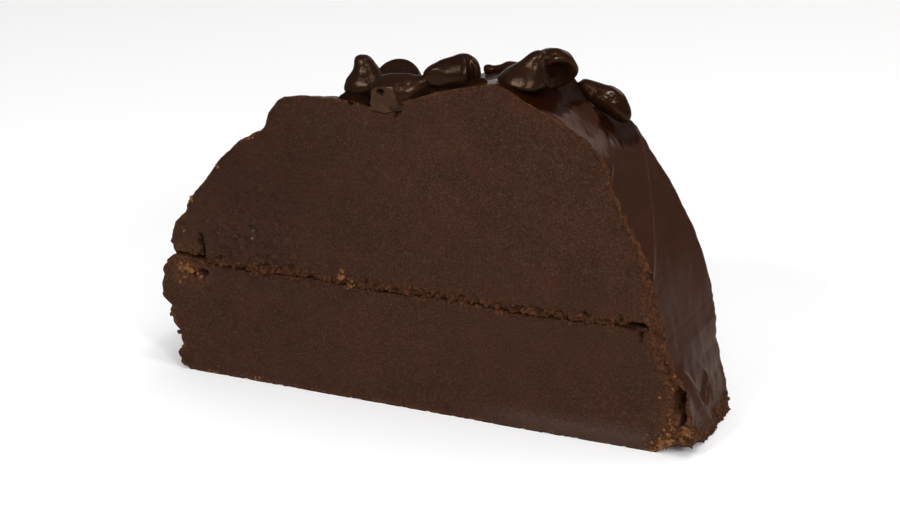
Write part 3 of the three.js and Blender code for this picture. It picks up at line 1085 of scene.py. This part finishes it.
skinFinish = {
    "main": tone(50, 30, 21), "cloud": tone(53, 29, 19), "fleck": tone(41, 25, 17),
    # the last colour on the next line paints the chips' shade and dark reflection on the skin under them
    "crumbly": tone(80, 52, 33), "golden": tone(120, 84, 48), "melt": tone(28, 10, 4),
    "sheen": tone(255, 222, 198), "specular": 0.06,
    "chipShadeRoughness": 0.3, "crumblyRoughness": 0.6,
    "mottle": {"Cloud Size": 0.012, "Cloud Amount": 0.8, "Fleck Amount": 0.4},
    "flour": {"Scale": 1100.0, "Detail": 4.0},
    "patches": {"Scale": 110.0, "Detail": 3.0},
    "gold": {"Grains per Metre": 650.0, "Share": 0.25, "Size": 0.5},
    # the range of its noise or mark in which each effect shows, and how much; the gloss goes
    # from a smooth to a dull roughness
    "broken": (0.4, 0.6), "gloss": (0.35, 0.68, 0.15, 0.28), "drawn": (0.0, 1.0, 0.06, 1.0),
    "goldAmount": 0.6,
    # upright streaks, their stretched noise, and the ripples over them
    "streaks": (200.0, 200.0, 30.0), "streakNoise": {"Scale": 1.0, "Detail": 3.0, "Roughness": 0.5},
    "ripples": {"Grains per Metre": 320.0, "Fine Amount": 0.25},
    "streakDepth": 0.00045, "rippleDepth": 0.00006, "crumbleDepth": 0.0004,
}
# under the chips the skin hardly mirrors, so that their painted shade stays dark
chipShadeFinish = {**skinFinish, "specular": 0.01}


def makeSkinFinish(name, finish):
    # glossy mottled fudge, crumbly in places, painted dark under the chips with their shade and
    # reflection, and streaked
    material, tree, shader, place = newMaterial(name)
    flour, patches = (noise(tree, place, finish[key]) for key in ("flour", "patches"))
    crumble, melt, drawn = (mark(tree, key) for key in ("crumble", "melt", "drawn"))
    gold = useGroup(tree, speckGroup, place, finish["gold"])
    color = layered(tree, mottled(tree, place, finish, finish["mottle"]), [
        (times(tree, crumble, ranged(tree, flour, *finish["broken"])), finish["crumbly"]),
        (times(tree, crumble, gold, finish["goldAmount"]), finish["golden"]),
        (melt, finish["melt"]),
    ])
    gloss = ranged(tree, patches, *finish["gloss"])
    gloss = blend(tree, melt, gloss, finish["chipShadeRoughness"], "FLOAT")
    feed(tree, shader, {
        "Base Color": color,
        "Roughness": blend(tree, crumble, gloss, finish["crumblyRoughness"], "FLOAT"),
        "Specular IOR Level": finish["specular"], "Specular Tint": finish["sheen"],
    })
    upright = addNode(tree, "Mapping", {"Vector": place, "Scale": finish["streaks"]}).outputs["Vector"]
    streaks = noise(tree, upright, finish["streakNoise"])
    streaks = times(tree, ranged(tree, drawn, *finish["drawn"]), streaks)
    streaked = bump(tree, shader, streaks, finish["streakDepth"])
    ripples = useGroup(tree, grainGroup, place, finish["ripples"])
    rippled = bump(tree, shader, ripples, finish["rippleDepth"], under=streaked)
    bump(tree, shader, times(tree, crumble, flour), finish["crumbleDepth"], under=rippled)
    return material


# the finish of the chips, and of the chocolate melted from them, which is painted nearly black as the
# shadow under the chips

chipFinish = {
    "dusty": {
        "main": tone(30, 16, 9), "cloud": tone(34, 18, 11), "fleck": tone(23, 12, 7),
        "roughness": (0.2, 0.28), "specular": 0.42, "coat": 0, "coatRoughness": 0.25,
    },
    # painted shade: a darker, duller copy of the dusty finish, for the two chips that face the lamps
    "dustyInPaintedShade": {
        "main": tone(25, 12, 7), "cloud": tone(29, 15, 8), "fleck": tone(19, 10, 6),
        "roughness": (0.16, 0.24), "specular": 0.34, "coat": 0, "coatRoughness": 0.22,
    },
    "melted": {
        "main": tone(29, 14, 6), "cloud": tone(36, 17, 7), "fleck": tone(20, 10, 5),
        "roughness": (0.12, 0.22), "specular": 0.24, "coat": 0.15, "coatRoughness": 0.06,
    },
    # painted shadow: the smears under the chips are nearly black and hardly mirror
    "meltInPaintedShadow": {
        "main": tone(20, 9, 4), "cloud": tone(26, 11, 5), "fleck": tone(14, 7, 4),
        "roughness": (0.3, 0.45), "specular": 0.05, "coat": 0, "coatRoughness": 0.2,
    },
}
chipSurface = {
    "mottle": {"Cloud Size": 0.005, "Cloud Amount": 0.8, "Fleck Amount": 0.3},
    # the cut chip's section: its shades, mottle and roughness
    "section": {"main": tone(55, 37, 24), "cloud": tone(45, 29, 18)},
    "sectionMottle": {"Cloud Size": 0.004, "Cloud Amount": 0.8, "Fleck Amount": 0.5},
    "sectionRoughness": 0.6,
    "clouds": {"Scale": 260.0, "Detail": 3.0}, "cloudRange": (0.35, 0.65),
    "sheen": tone(255, 212, 176),
    "grain": {"Grains per Metre": 1300.0, "Fine Amount": 0.5}, "grainDepth": 0.00008,
}


def makeChipFinish(name, finish, surface):
    # dark mottled chocolate, whose roughness goes with soft clouds, and a paler section
    material, tree, shader, place = newMaterial(name)
    section = mark(tree, "section")
    whole = mottled(tree, place, finish, surface["mottle"])
    cut = mottled(tree, place, {**surface["section"], "fleck": finish["main"]}, surface["sectionMottle"])
    gloss = ranged(tree, noise(tree, place, surface["clouds"]), *surface["cloudRange"],
                   *finish["roughness"])
    feed(tree, shader, {
        "Base Color": blend(tree, section, whole, cut),
        "Roughness": blend(tree, section, gloss, surface["sectionRoughness"], "FLOAT"),
        "Specular IOR Level": finish["specular"], "Specular Tint": surface["sheen"],
        "Coat Weight": finish["coat"], "Coat Roughness": finish["coatRoughness"],
    })
    grain = useGroup(tree, grainGroup, place, surface["grain"])
    bump(tree, shader, grain, surface["grainDepth"])
    return material


# the finish of the crumbs

crumbFinish = {
    "golden": {"main": tone(124, 82, 49), "cloud": tone(88, 57, 36), "fleck": tone(58, 38, 26)},
    "brown": {"main": tone(78, 48, 31), "cloud": tone(54, 33, 22), "fleck": tone(58, 38, 26)},
}
crumbSurface = {
    "mottle": {"Cloud Size": 0.0012, "Cloud Amount": 1.0, "Fleck Amount": 0.4},
    "roughness": 0.5, "specular": 0.05, "sheen": tone(255, 226, 200),
    "grain": {"Grains per Metre": 2600.0, "Fine Amount": 0.5}, "grainDepth": 0.00012,
}


def makeCrumbFinish(name, finish, surface):
    # mottled crumbs with a matt grain
    material, tree, shader, place = newMaterial(name)
    feed(tree, shader, {
        "Base Color": mottled(tree, place, finish, surface["mottle"]),
        "Roughness": surface["roughness"],
        "Specular IOR Level": surface["specular"], "Specular Tint": surface["sheen"],
    })
    bump(tree, shader, useGroup(tree, grainGroup, place, surface["grain"]), surface["grainDepth"])
    return material


cutMaterial = makeCutFinish("cutFudge", cutFinish)
skinMaterial = makeSkinFinish("workedSkin", skinFinish)
chipShadeMaterial = makeSkinFinish("paintedChipShade", chipShadeFinish)
chipMaterials = {kind: makeChipFinish(kind + "Chip", finish, chipSurface)
                 for kind, finish in chipFinish.items()}
crumbMaterials = {kind: makeCrumbFinish(kind + "Crumb", finish, crumbSurface)
                  for kind, finish in crumbFinish.items()}
print("finishes ready")

makePiece("upperPour", upperPatches(), [cutMaterial, skinMaterial, chipShadeMaterial],
          "fudge_upper_layer")
print("upper pour made")
makePiece("lowerPour", lowerPatches(), [cutMaterial, skinMaterial],
          "fudge_lower_layer")
print("lower pour made")


# the chips

# profiles of [share of the radius, share of the height], from the foot's middle to the tip
chipProfiles = {
    "kiss": [
        [0, 0], [0.6, 0], [0.88, 0.015], [0.99, 0.08], [1, 0.18], [0.92, 0.33], [0.78, 0.48],
        [0.64, 0.63], [0.5, 0.78], [0.36, 0.9], [0.2, 0.98], [0, 1],
    ],
    "cone": [
        [0, 0], [0.6, 0], [0.9, 0.02], [1, 0.1], [0.99, 0.2], [0.9, 0.36], [0.76, 0.52],
        [0.59, 0.67], [0.43, 0.8], [0.28, 0.92], [0.15, 0.985], [0, 1],
    ],
    "onion": [
        [0, 0], [0.6, 0], [0.9, 0.02], [1, 0.1], [0.98, 0.2], [0.87, 0.34], [0.7, 0.48],
        [0.54, 0.62], [0.42, 0.76], [0.33, 0.88], [0.2, 0.975], [0, 1],
    ],
    "knobbed": [
        [0, 0], [0.6, 0], [0.9, 0.02], [1, 0.1], [0.95, 0.3], [0.78, 0.5], [0.6, 0.68],
        [0.5, 0.78], [0.56, 0.88], [0.4, 0.975], [0, 1],
    ],
    "necked": [
        [0, 0], [0.6, 0], [0.88, 0.015], [0.99, 0.09], [1, 0.2], [0.93, 0.33], [0.78, 0.45],
        [0.61, 0.57], [0.5, 0.7], [0.43, 0.82], [0.34, 0.92], [0.19, 0.985], [0, 1],
    ],
    "plump": [
        [0, 0], [0.3, 0.003], [0.55, 0.02], [0.74, 0.05], [0.87, 0.09], [0.95, 0.13],
        [0.99, 0.17], [1, 0.21], [1, 0.26], [0.98, 0.32], [0.93, 0.41], [0.84, 0.54],
        [0.71, 0.69], [0.58, 0.81], [0.43, 0.92], [0.24, 0.985], [0, 1],
    ],
    "drop": [
        [0, 0], [0.2, 0.005], [0.38, 0.04], [0.58, 0.11], [0.78, 0.22], [0.94, 0.36], [1, 0.5],
        [0.92, 0.64], [0.74, 0.77], [0.5, 0.88], [0.25, 0.97], [0, 1],
    ],
    "dished": [
        [0, 0.2], [0.36, 0.17], [0.58, 0.07], [0.74, 0], [0.92, 0.03], [1.02, 0.18],
        [0.98, 0.4], [0.8, 0.62], [0.5, 0.84], [0.28, 0.96], [0, 1],
    ],
}
# base: the middle of the chip's foot; lean: of its tip from straight up; toward: the way it
# leans, from +X towards +Y; bend: how far a tip sags that way, and how late; lumpy: how much
# more uneven it is than the others
chips = {
    "chipCut": {
        "node": "chip_cut", "profile": "cone", "base": (-9.1, -10.6, 67.9), "radius": 4.9,
        "height": 13.2, "lean": 66, "toward": 5, "finish": "dusty",
    },
    "chipLeft": {
        "node": "chip_left", "profile": "necked", "base": (-14, -6.2, 68.1), "radius": 4.8,
        "height": 8.2, "lean": 0, "toward": 0, "bend": (-1.3, 1.4), "finish": "dusty",
    },
    "chipFlipped": {
        "node": "chip_flipped", "profile": "kiss", "base": (-7.5, -5, 71), "radius": 5.9,
        "height": 6.6, "lean": 145, "toward": 116, "finish": "dustyInPaintedShade",
    },
    "chipLong": {
        "node": "chip_long", "profile": "plump", "base": (11.8, -6.5, 75.1), "radius": 4.25,
        "height": 11.8, "lean": 90, "toward": 212, "finish": "dustyInPaintedShade",
        # a fold round the foot's sides, by share of the height, and how far the foot cups
        "fold": {"level": 0.19, "width": 0.065, "depth": 1.5, "cup": 0.9, "cupFades": (0.1, 0.45)},
    },
    "chipBack": {
        "node": "chip_back", "profile": "knobbed", "base": (14.5, 8.4, 72.4), "radius": 2,
        "height": 7.6, "lean": 94, "toward": 183, "finish": "melted",
    },
    "chipKiss": {
        "node": "chip_kiss", "profile": "onion", "base": (21.3, -6, 73.5), "radius": 5.4,
        "height": 7.7, "lean": 8, "toward": 0, "bend": (2.6, 1.6), "finish": "dusty",
    },
    "chipOpen": {
        "node": "chip_open", "profile": "dished", "base": (25.7, 0.4, 74.3), "radius": 4.9,
        "height": 7, "lean": 62, "toward": 128, "finish": "melted", "lumpy": 1.6,
    },
    "chipRight": {
        "node": "chip_right", "profile": "drop", "base": (39.7, 7, 64.4), "radius": 3,
        "height": 12.8, "lean": 35, "toward": 184, "bend": (4.2, 1.7), "finish": "melted", "lumpy": 2,
    },
}
chipDetail = {
    "around": 150, "perSpan": 7,
    # unround waves (rate, share of the chip's number, height), how high they are, and how much
    # higher near the foot
    "waves": [(2, 1, 1), (3, 2, 0.6)], "wobble": 0.035, "footWobble": 0.07, "footShare": 0.3,
    "dents": {"size": 2.4, "height": 0.2, "seed": 60},
    # the cut chip's section stands just proud of the loaf's cut, rough, with a small hole
    "section": {
        "depth": 14.4, "rough": {"size": 1.1, "height": 0.14, "seed": 71}, "flattens": 0.6,
        "outline": {"size": 2.2, "height": 0.16, "seed": 72}, "edge": (-0.02, 0.06),
        # it is drawn wide at one level: its middle, the level, how far up and down, by how much
        # and over which depths
        "drawn": {"middle": -6.6, "level": 67.5, "reach": 1.5, "wider": 0.55, "y": (-14, -10)},
        "pits": [
            frontPit(-7.7, 70.8, 0.8, 0.6, 1.8),
            {"centre": (-5.2, -14.2, 67.6), "half": (0.35, 0.5, 0.8), "push": (0, 1, 0)},
        ],
    },
}


def turned(points, first, second, angle):
    # turns points in the plane of two axes, from the first axis towards the second
    points = points.copy()
    cosine, sine = math.cos(math.radians(angle)), math.sin(math.radians(angle))
    points[..., first], points[..., second] = (
        cosine * points[..., first] - sine * points[..., second],
        sine * points[..., first] + cosine * points[..., second])
    return points


def foldFoot(fold, level, around, reach, rise, radius):
    # a bell-shaped fold pulls the sides in, at most by half, and the foot cups by the square of
    # the distance from its middle
    pull = bell(level, fold["level"], fold["width"]) * np.sin(around) ** 2
    reach = reach - np.minimum(fold["depth"] * pull, 0.5 * reach)
    near = falling(level, *fold["cupFades"])
    return reach, rise + fold["cup"] * near * (reach / radius * np.cos(around)) ** 2


def kissPatch(chip, seed):
    # the profile turned round its axis, made uneven and folded, sagged, leant over and set down
    profile = splineThrough(chipProfiles[chip["profile"]], chipDetail["perSpan"])
    level = profile[:, 1:]
    around = np.linspace(0, 2 * np.pi, chipDetail["around"] + 1)
    around[-1] = 0
    near = falling(level, 0, chipDetail["footShare"])
    wobble = chipDetail["wobble"] + chipDetail["footWobble"] * near
    waves = sum(height * np.sin(rate * around + share * seed)
                for rate, share, height in chipDetail["waves"])
    reach = np.maximum(profile[:, :1], 0) * chip["radius"] * (1 + wobble * waves[None])
    rise = level * chip["height"] + 0 * reach
    if "fold" in chip:
        reach, rise = foldFoot(chip["fold"], level, around, reach, rise, chip["radius"])
    points = np.stack([reach * np.cos(around), reach * np.sin(around), rise], axis=-1)
    dents = chipDetail["dents"]
    lumpy = dents["height"] * chip.get("lumpy", 1) / chip["radius"]
    points *= 1 + lumpy * latticeNoise(points, dents["size"], dents["seed"] + seed)[..., None]
    sag, late = chip.get("bend", (0, 1))
    points[..., 0] += sag * np.clip(points[..., 2] / chip["height"], 0, 1) ** late
    points = turned(points, 2, 0, chip["lean"])
    points = turned(points, 0, 1, chip["toward"])
    return {"points": points + np.array(chip["base"]), "finish": 0}


def sliceChip(patch):
    # near the cut one level is drawn wide by a bell curve; then what stands in front of the cut
    # moves back to it, and becomes the rough section
    section, points = chipDetail["section"], patch["points"]
    drawn = section["drawn"]
    near = falling(points[..., 1], *drawn["y"])
    level = bell(points[..., 2], drawn["level"], drawn["reach"])
    points[..., 0] += drawn["wider"] * near * level * (points[..., 0] - drawn["middle"])
    place = points * (1, 0, 1)
    ahead = unevenness(place, section["outline"]) - section["depth"] - points[..., 1]
    patch["marks"] = {"section": smoothstep(ahead, *section["edge"])}
    rough = unevenness(place, section["rough"]) * smoothstep(ahead, 0, section["flattens"])
    points[..., 1] = np.where(ahead > 0, rough - section["depth"], points[..., 1])
    patch["points"] = carve(points, section["pits"])
    return patch


for seed, (chipName, chip) in enumerate(chips.items()):
    chipPatch = kissPatch(chip, seed)
    if chip["node"] == "chip_cut":
        chipPatch = sliceChip(chipPatch)
    makePiece(chipName, [chipPatch], [chipMaterials[chip["finish"]]], chip["node"])
print("chips made")


# melted smears under the chips, painted nearly black as the shadow beneath them

smears = {
    # centre, half sizes and how far it is turned in the X and Z plane
    "places": [
        ((-13.4, -9.6, 67.4), (5, 4.4, 1.4), 4), ((-8.5, -9, 68), (4.5, 3, 1.6), 10),
        ((3.4, -10.6, 71), (5.2, 2.4, 1.7), -17), ((10, -9.6, 73), (4, 2.6, 1.4), -17),
    ],
    "rings": 40, "around": 80, "dents": {"size": 1.8, "height": 0.2, "seed": 80},
}


def smearPatch(centre, half, turn, seed):
    # an ellipsoid with uneven radii, turned and set down
    across, around = np.meshgrid(np.linspace(0, np.pi, smears["rings"]),
                                 np.linspace(0, 2 * np.pi, smears["around"] + 1), indexing="ij")
    ring = np.sin(across)
    points = np.stack([ring * np.cos(around), ring * np.sin(around), np.cos(across)], axis=-1)
    points[:, -1] = points[:, 0]
    points = points * np.array(half)
    dents = {**smears["dents"], "seed": smears["dents"]["seed"] + seed}
    points *= 1 + unevenness(points, dents)[..., None]
    return {"points": turned(points, 2, 0, turn) + np.array(centre), "finish": 0}


smearPatches = [smearPatch(*place, seed) for seed, place in enumerate(smears["places"])]
makePiece("meltedSmearsPaintedDark", smearPatches, [chipMaterials["meltInPaintedShadow"]])
print("smears made")


# crumbs

crumbs = {
    "seed": 7,
    # golden crumbs on the front cut: [x, z, spread, count, size]
    "goldenSpots": [
        [-57.8, 24.9, 0.4, 5, 0.8], [-56.2, 25.3, 0.4, 5, 0.75], [-55, 24.2, 0.4, 6, 0.85],
        [-57.2, 23.2, 0.7, 8, 0.5], [-58.1, 21.3, 0.2, 3, 0.6], [-53.3, 23, 0.6, 8, 0.5],
        [-56.5, 27.2, 1.2, 9, 0.4], [43.1, 57.6, 0.35, 7, 0.4], [-17.2, 28.9, 0.5, 6, 0.7],
        [-15.4, 27.2, 1, 14, 0.6], [52.6, 40.7, 0.3, 5, 0.35], [60, 19, 1, 22, 0.4],
        [58.4, 3, 2.1, 44, 0.42], [61.4, 5.4, 1.7, 34, 0.42], [55.2, 1.4, 1.7, 26, 0.4],
        [58.4, 13, 1.3, 18, 0.36], [-50.7, 0.5, 0.7, 9, 0.38], [-39.6, 0.6, 0.4, 8, 0.36],
        [57, 1.6, 1.7, 16, 0.9], [61.5, 4.4, 1.2, 12, 0.85], [58.6, 8.6, 0.9, 8, 0.7],
        [-47.3, 49.7, 0.3, 5, 0.6], [-54.2, 41.3, 0.35, 7, 0.75], [-57, 33.4, 0.3, 5, 0.6],
        [-39.4, 56.8, 0.5, 6, 0.3],
    ],
    "golden": {"sizes": (0.4, 1.15), "sunk": 0.2},
    # along the seam on each cut: its ends, the mean and spread of the height over it, and sizes
    # by least, more and power
    "seam": {
        "counts": (900, 300), "ends": (-58, 53), "over": (0.8, 0.65), "sizes": (0.16, 0.55, 2.5),
        "sunk": 0.1, "proud": 0.15,
    },
    # along the rim: angles by least, more and power, how far inside it they spread, and how the
    # spread and the sizes shrink with the angle
    "rim": {
        "count": 700, "angles": (2, 60, 1.3), "spread": 1.7, "spreadShrinks": (1.2, 80),
        "sizes": (0.13, 0.55, 2.5), "sizesShrink": (1.1, 60), "sunk": 0.15,
    },
    # on the left flank and on the right foot: angles, count and size; sizes as at the seam
    "flanks": [(142, 179, 420, 0.7), (0.3, 4.4, 190, 0.55)], "flankSizes": (0.3, 0.9, 3),
    # beads half sunk in the dragged patch, and how far inside the outline they stay
    "beads": {"count": 80, "sizes": (0.4, 0.9), "sunk": 0.5, "inside": 4},
    # how low a crumb may be, how far from a pit's middle it stays, and how uneven it is
    "lowest": 0.3, "lowestCorner": 0.02, "fromPit": 1.1, "uneven": 0.3, "squeezed": (0.65, 1.1),
}


def frontDepth(x, z):
    # the front cut's depth at a place, from the relief of the layer that is there
    over = z > seamLine(x)
    relief = np.where(over, cutRelief(x, z, 0, True), cutRelief(x, z, 0, False))
    return -loaf["depth"] / 2 - relief


def onFront(x, z, sizes, sunk):
    # rows of [x, y, z, size], each sunk into the front cut by a share of its size
    return np.stack([x, frontDepth(x, z) + sunk * sizes, z, sizes], axis=-1)


def clear(rows):
    # keeps the crumbs that aren't over a pit
    kept = np.ones(len(rows), bool)
    for pit in cutFace["pits"]:
        across = (rows[:, [0, 2]] - np.array(pit["centre"])[[0, 2]]) / np.array(pit["half"])[[0, 2]]
        kept &= (across ** 2).sum(-1) > crumbs["fromPit"]
    return rows[kept]


def lifted(rows):
    # crumbs near the base rise with the crumbled foot
    rows[:, 2] = risen(rows[:, 2], footLift(rows[:, 0], rows[:, 1]))
    return rows


def mostlySmall(chance, count, least, more, power):
    # least + more * t ^ power for random t from 0 to 1
    return least + more * chance.random(count) ** power


def goldenPlaces(chance):
    # bell-shaped clusters on the front cut, kept inside the outline
    rows, golden = [], crumbs["golden"]
    for x, z, spread, count, size in crumbs["goldenSpots"]:
        spots = np.array([x, z]) + chance.normal(0, spread, (count, 2))
        spots[:, 1] = np.maximum(spots[:, 1], crumbs["lowest"])
        sizes = size * chance.uniform(*golden["sizes"], count)
        rows.append(onFront(*spots.T, sizes, golden["sunk"]))
    rows = np.concatenate(rows)
    return lifted(clear(rows[fromSkin(rows[:, 0], rows[:, 2])[1] > 0]))


def seamPlaces(chance, side):
    # evenly along the seam of one cut, and in a bell curve over it
    facts = crumbs["seam"]
    count = facts["counts"][side]
    x = chance.uniform(*facts["ends"], count)
    z = seamLine(x) + chance.normal(*facts["over"], count)
    sizes = mostlySmall(chance, count, *facts["sizes"])
    rows = onFront(x, z, sizes, facts["sunk"])
    if side == 1:
        rows[:, 1] = loaf["depth"] / 2 + facts["proud"]
    return clear(rows)


def rimPlaces(chance):
    # denser towards the right foot, and in half a bell curve inside the outline
    facts = crumbs["rim"]
    angle = mostlySmall(chance, facts["count"], *facts["angles"])
    most, per = facts["spreadShrinks"]
    inside = np.abs(chance.normal(0, facts["spread"], facts["count"])) * (most - angle / per)
    spots = frontPoint(angle) * (1 - inside / frontRadius(angle))[:, None]
    most, per = facts["sizesShrink"]
    least, more, power = facts["sizes"]
    sizes = mostlySmall(chance, facts["count"], least, more * (most - angle / per), power)
    return lifted(clear(onFront(*spots.T, sizes, facts["sunk"])))


def flankPlaces(chance, low, high, count, size):
    # evenly over a stretch of the skin
    angle = chance.uniform(low, high, count)
    share = chance.random(count)
    x, z = workPoint(*frontPoint(angle).T, share)
    sizes = size * mostlySmall(chance, count, *crumbs["flankSizes"])
    depth = loaf["depth"] * (share - 0.5)
    return lifted(np.stack([x, depth, np.maximum(z, crumbs["lowest"]), sizes], axis=-1))


def beadPlaces(chance):
    # a bell-shaped cluster over the dragged patch, like the nodules there
    facts, spread = crumbs["beads"], cutFace["beads"]["spread"]
    spots = cutFace["drag"]["centre"] + chance.normal(size=(facts["count"], 2)) * spread
    sizes = chance.uniform(*facts["sizes"], facts["count"])
    rows = onFront(*spots.T, sizes, facts["sunk"])
    return clear(rows[fromSkin(*spots.T)[1] > facts["inside"]])


def icosahedron():
    # its twelve corners and twenty faces
    work = bmesh.new()
    bmesh.ops.create_icosphere(work, subdivisions=1, radius=1)
    corners = np.array([vert.co[:] for vert in work.verts])
    faces = np.array([[vert.index for vert in face.verts] for face in work.faces])
    work.free()
    return corners, faces


def crumbPiece(name, places, material, chance):
    # each crumb is an icosahedron with uneven corners, squeezed, turned and set down
    corners, faces = icosahedron()
    count = len(places)
    uneven = chance.uniform(-1, 1, (count, len(corners), 1))
    shape = corners[None] * (1 + crumbs["uneven"] * uneven)
    shape = shape * chance.uniform(*crumbs["squeezed"], (count, 1, 3)) * places[:, None, 3:]
    axes = np.linalg.qr(chance.normal(size=(count, 3, 3)))[0]
    axes *= np.linalg.det(axes)[:, None, None]
    points = np.einsum("nij,nkj->nki", axes, shape) + places[:, None, :3]
    points[..., 2] = np.maximum(points[..., 2], crumbs["lowestCorner"])
    numbers = faces[None] + np.arange(count)[:, None, None] * len(corners)
    addPiece(newMesh(name, points, numbers.reshape(-1, 3), [material]))


chance = np.random.default_rng(crumbs["seed"])
crumbPiece("goldenCrumbs", goldenPlaces(chance), crumbMaterials["golden"], chance)
brownPlaces = np.concatenate([
    seamPlaces(chance, 0), seamPlaces(chance, 1), rimPlaces(chance),
    *(flankPlaces(chance, *flank) for flank in crumbs["flanks"]),
])
crumbPiece("brownCrumbs", brownPlaces, crumbMaterials["brown"], chance)
crumbPiece("faceBeads", beadPlaces(chance), cutMaterial, chance)
print("crumbs scattered")


# floor, light and backdrop, with places and sizes in metres

studio = {
    "floor": {"size": 1.1, "color": tone(252, 252, 252), "roughness": 0.8,
              # what the loaf's gloss shows of it, near and far: a painted pool of light in its
              # reflection
              "near": tone(186, 173, 165), "far": tone(112, 101, 94), "reach": (0.1, 0.45)},
    "backdrop": {
        "seen": (0.98, 0.98, 0.98, 1), "light": (0.1, 0.1, 0.1, 1),
        "mirrored": (0.09, 0.075, 0.065, 1),
    },
    # softboxes, square or round: place, what they face, size and power; the gloss doesn't show
    # those that aren't mirrored
    "lights": {
        "key": {
            "place": (-0.26, -0.94, 0.74), "facing": (0, 0, 0.05), "size": (0.14, 0.14), "power": 4.8,
            "round": True,
        },
        "front": {
            "place": (0.5, -1, 0.5), "facing": (0, 0, 0.03), "size": (0.5, 0.5), "power": 3.9,
            "mirrored": False,
        },
        "low": {
            "place": (0.5, -0.46, 0.38), "facing": (0, 0, 0.05), "size": (0.11, 0.11), "power": 1.7,
            "round": True,
        },
        "over": {
            "place": (0.2, 0, 1.5), "facing": (0, 0, 0.03), "size": (2.4, 2.4), "power": 22,
            "mirrored": False,
        },
        "rear": {
            "place": (0.55, 1.15, 0.95), "facing": (0, 0, 0.05), "size": (1.8, 1.2), "power": 3.6,
            "mirrored": False,
        },
        # what the flank, the crown and the melted chips mirror
        "sheen": {
            "place": (0.14, 1.2, 0.52), "facing": (0, 0, 0.05), "size": (0.46, 0.5), "power": 0.7,
            "color": (1, 0.84, 0.78),
        },
        "crown": {
            "place": (-0.5, 1.14, 0.08), "facing": (0, 0, 0.07), "size": (0.5, 0.22), "power": 0.2,
        },
        "top": {
            "place": (0.34, -0.16, 1.15), "facing": (0, 0, 0.05), "size": (0.14, 0.14), "power": 1.6,
            "round": True,
        },
    },
}


def makeFloor(facts):
    # a square sheet of paper round the origin
    mesh = bpy.data.meshes.new("floor")
    half = facts["size"] / 2
    mesh.from_pydata([(-half, -half, 0), (half, -half, 0), (half, half, 0), (-half, half, 0)],
                     [], [(0, 1, 2, 3)])
    # the loaf's gloss shows the floor darker than it is, and darker still farther away: a painted pool
    # of light in its reflection
    material, tree, shader, place = newMaterial("floorPaper")
    glossy = addNode(tree, "LightPath").outputs["Is Glossy Ray"]
    away = addNode(tree, "VectorMath", {0: place}, operation="LENGTH").outputs["Value"]
    shown = blend(tree, ranged(tree, away, *facts["reach"]), facts["near"], facts["far"])
    feed(tree, shader, {
        "Base Color": blend(tree, glossy, facts["color"], shown), "Roughness": facts["roughness"],
    })
    mesh.materials.append(material)
    addObject("floor", mesh)


def makeLight(name, facts):
    # an area light, tilted and turned by the arc cosine and tangent of the way it faces
    data = bpy.data.lights.new(name, "AREA")
    data.shape = "ELLIPSE" if facts.get("round") else "RECTANGLE"
    data.size, data.size_y = facts["size"]
    data.energy = facts["power"]
    data.color = facts.get("color", (1, 1, 1))
    light = addObject(name, data)
    place, facing = np.array(facts["place"]), np.array(facts["facing"])
    along = facing - place
    light.location = place
    light.visible_camera = False
    light.visible_glossy = facts.get("mirrored", True)
    light.rotation_euler = (
        math.acos(-along[2] / np.linalg.norm(along)), 0,
        math.atan2(along[1], along[0]) - math.pi / 2)


def makeBackdrop(facts):
    # a pale backdrop to look at, which lights the scene only dimly and mirrors warmly
    world = bpy.data.worlds.new("backdrop")
    bpy.context.scene.world = world
    world.use_nodes = True
    tree = world.node_tree
    tree.nodes.clear()
    seen, light, mirrored = (
        addNode(tree, "Background", {"Color": facts[key]}).outputs["Background"]
        for key in ("seen", "light", "mirrored"))
    path = addNode(tree, "LightPath").outputs
    reflected = addNode(tree, "MixShader", {"Fac": path["Is Glossy Ray"], 1: light, 2: mirrored})
    either = addNode(tree, "MixShader", {
        "Fac": path["Is Camera Ray"], 1: reflected.outputs["Shader"], 2: seen,
    })
    addNode(tree, "OutputWorld", {"Surface": either.outputs["Shader"]})


makeFloor(studio["floor"])
for lightName, lightFacts in studio["lights"].items():
    makeLight(lightName, lightFacts)
makeBackdrop(studio["backdrop"])
bpy.context.scene.view_settings.view_transform = "Standard"
print("studio lit")
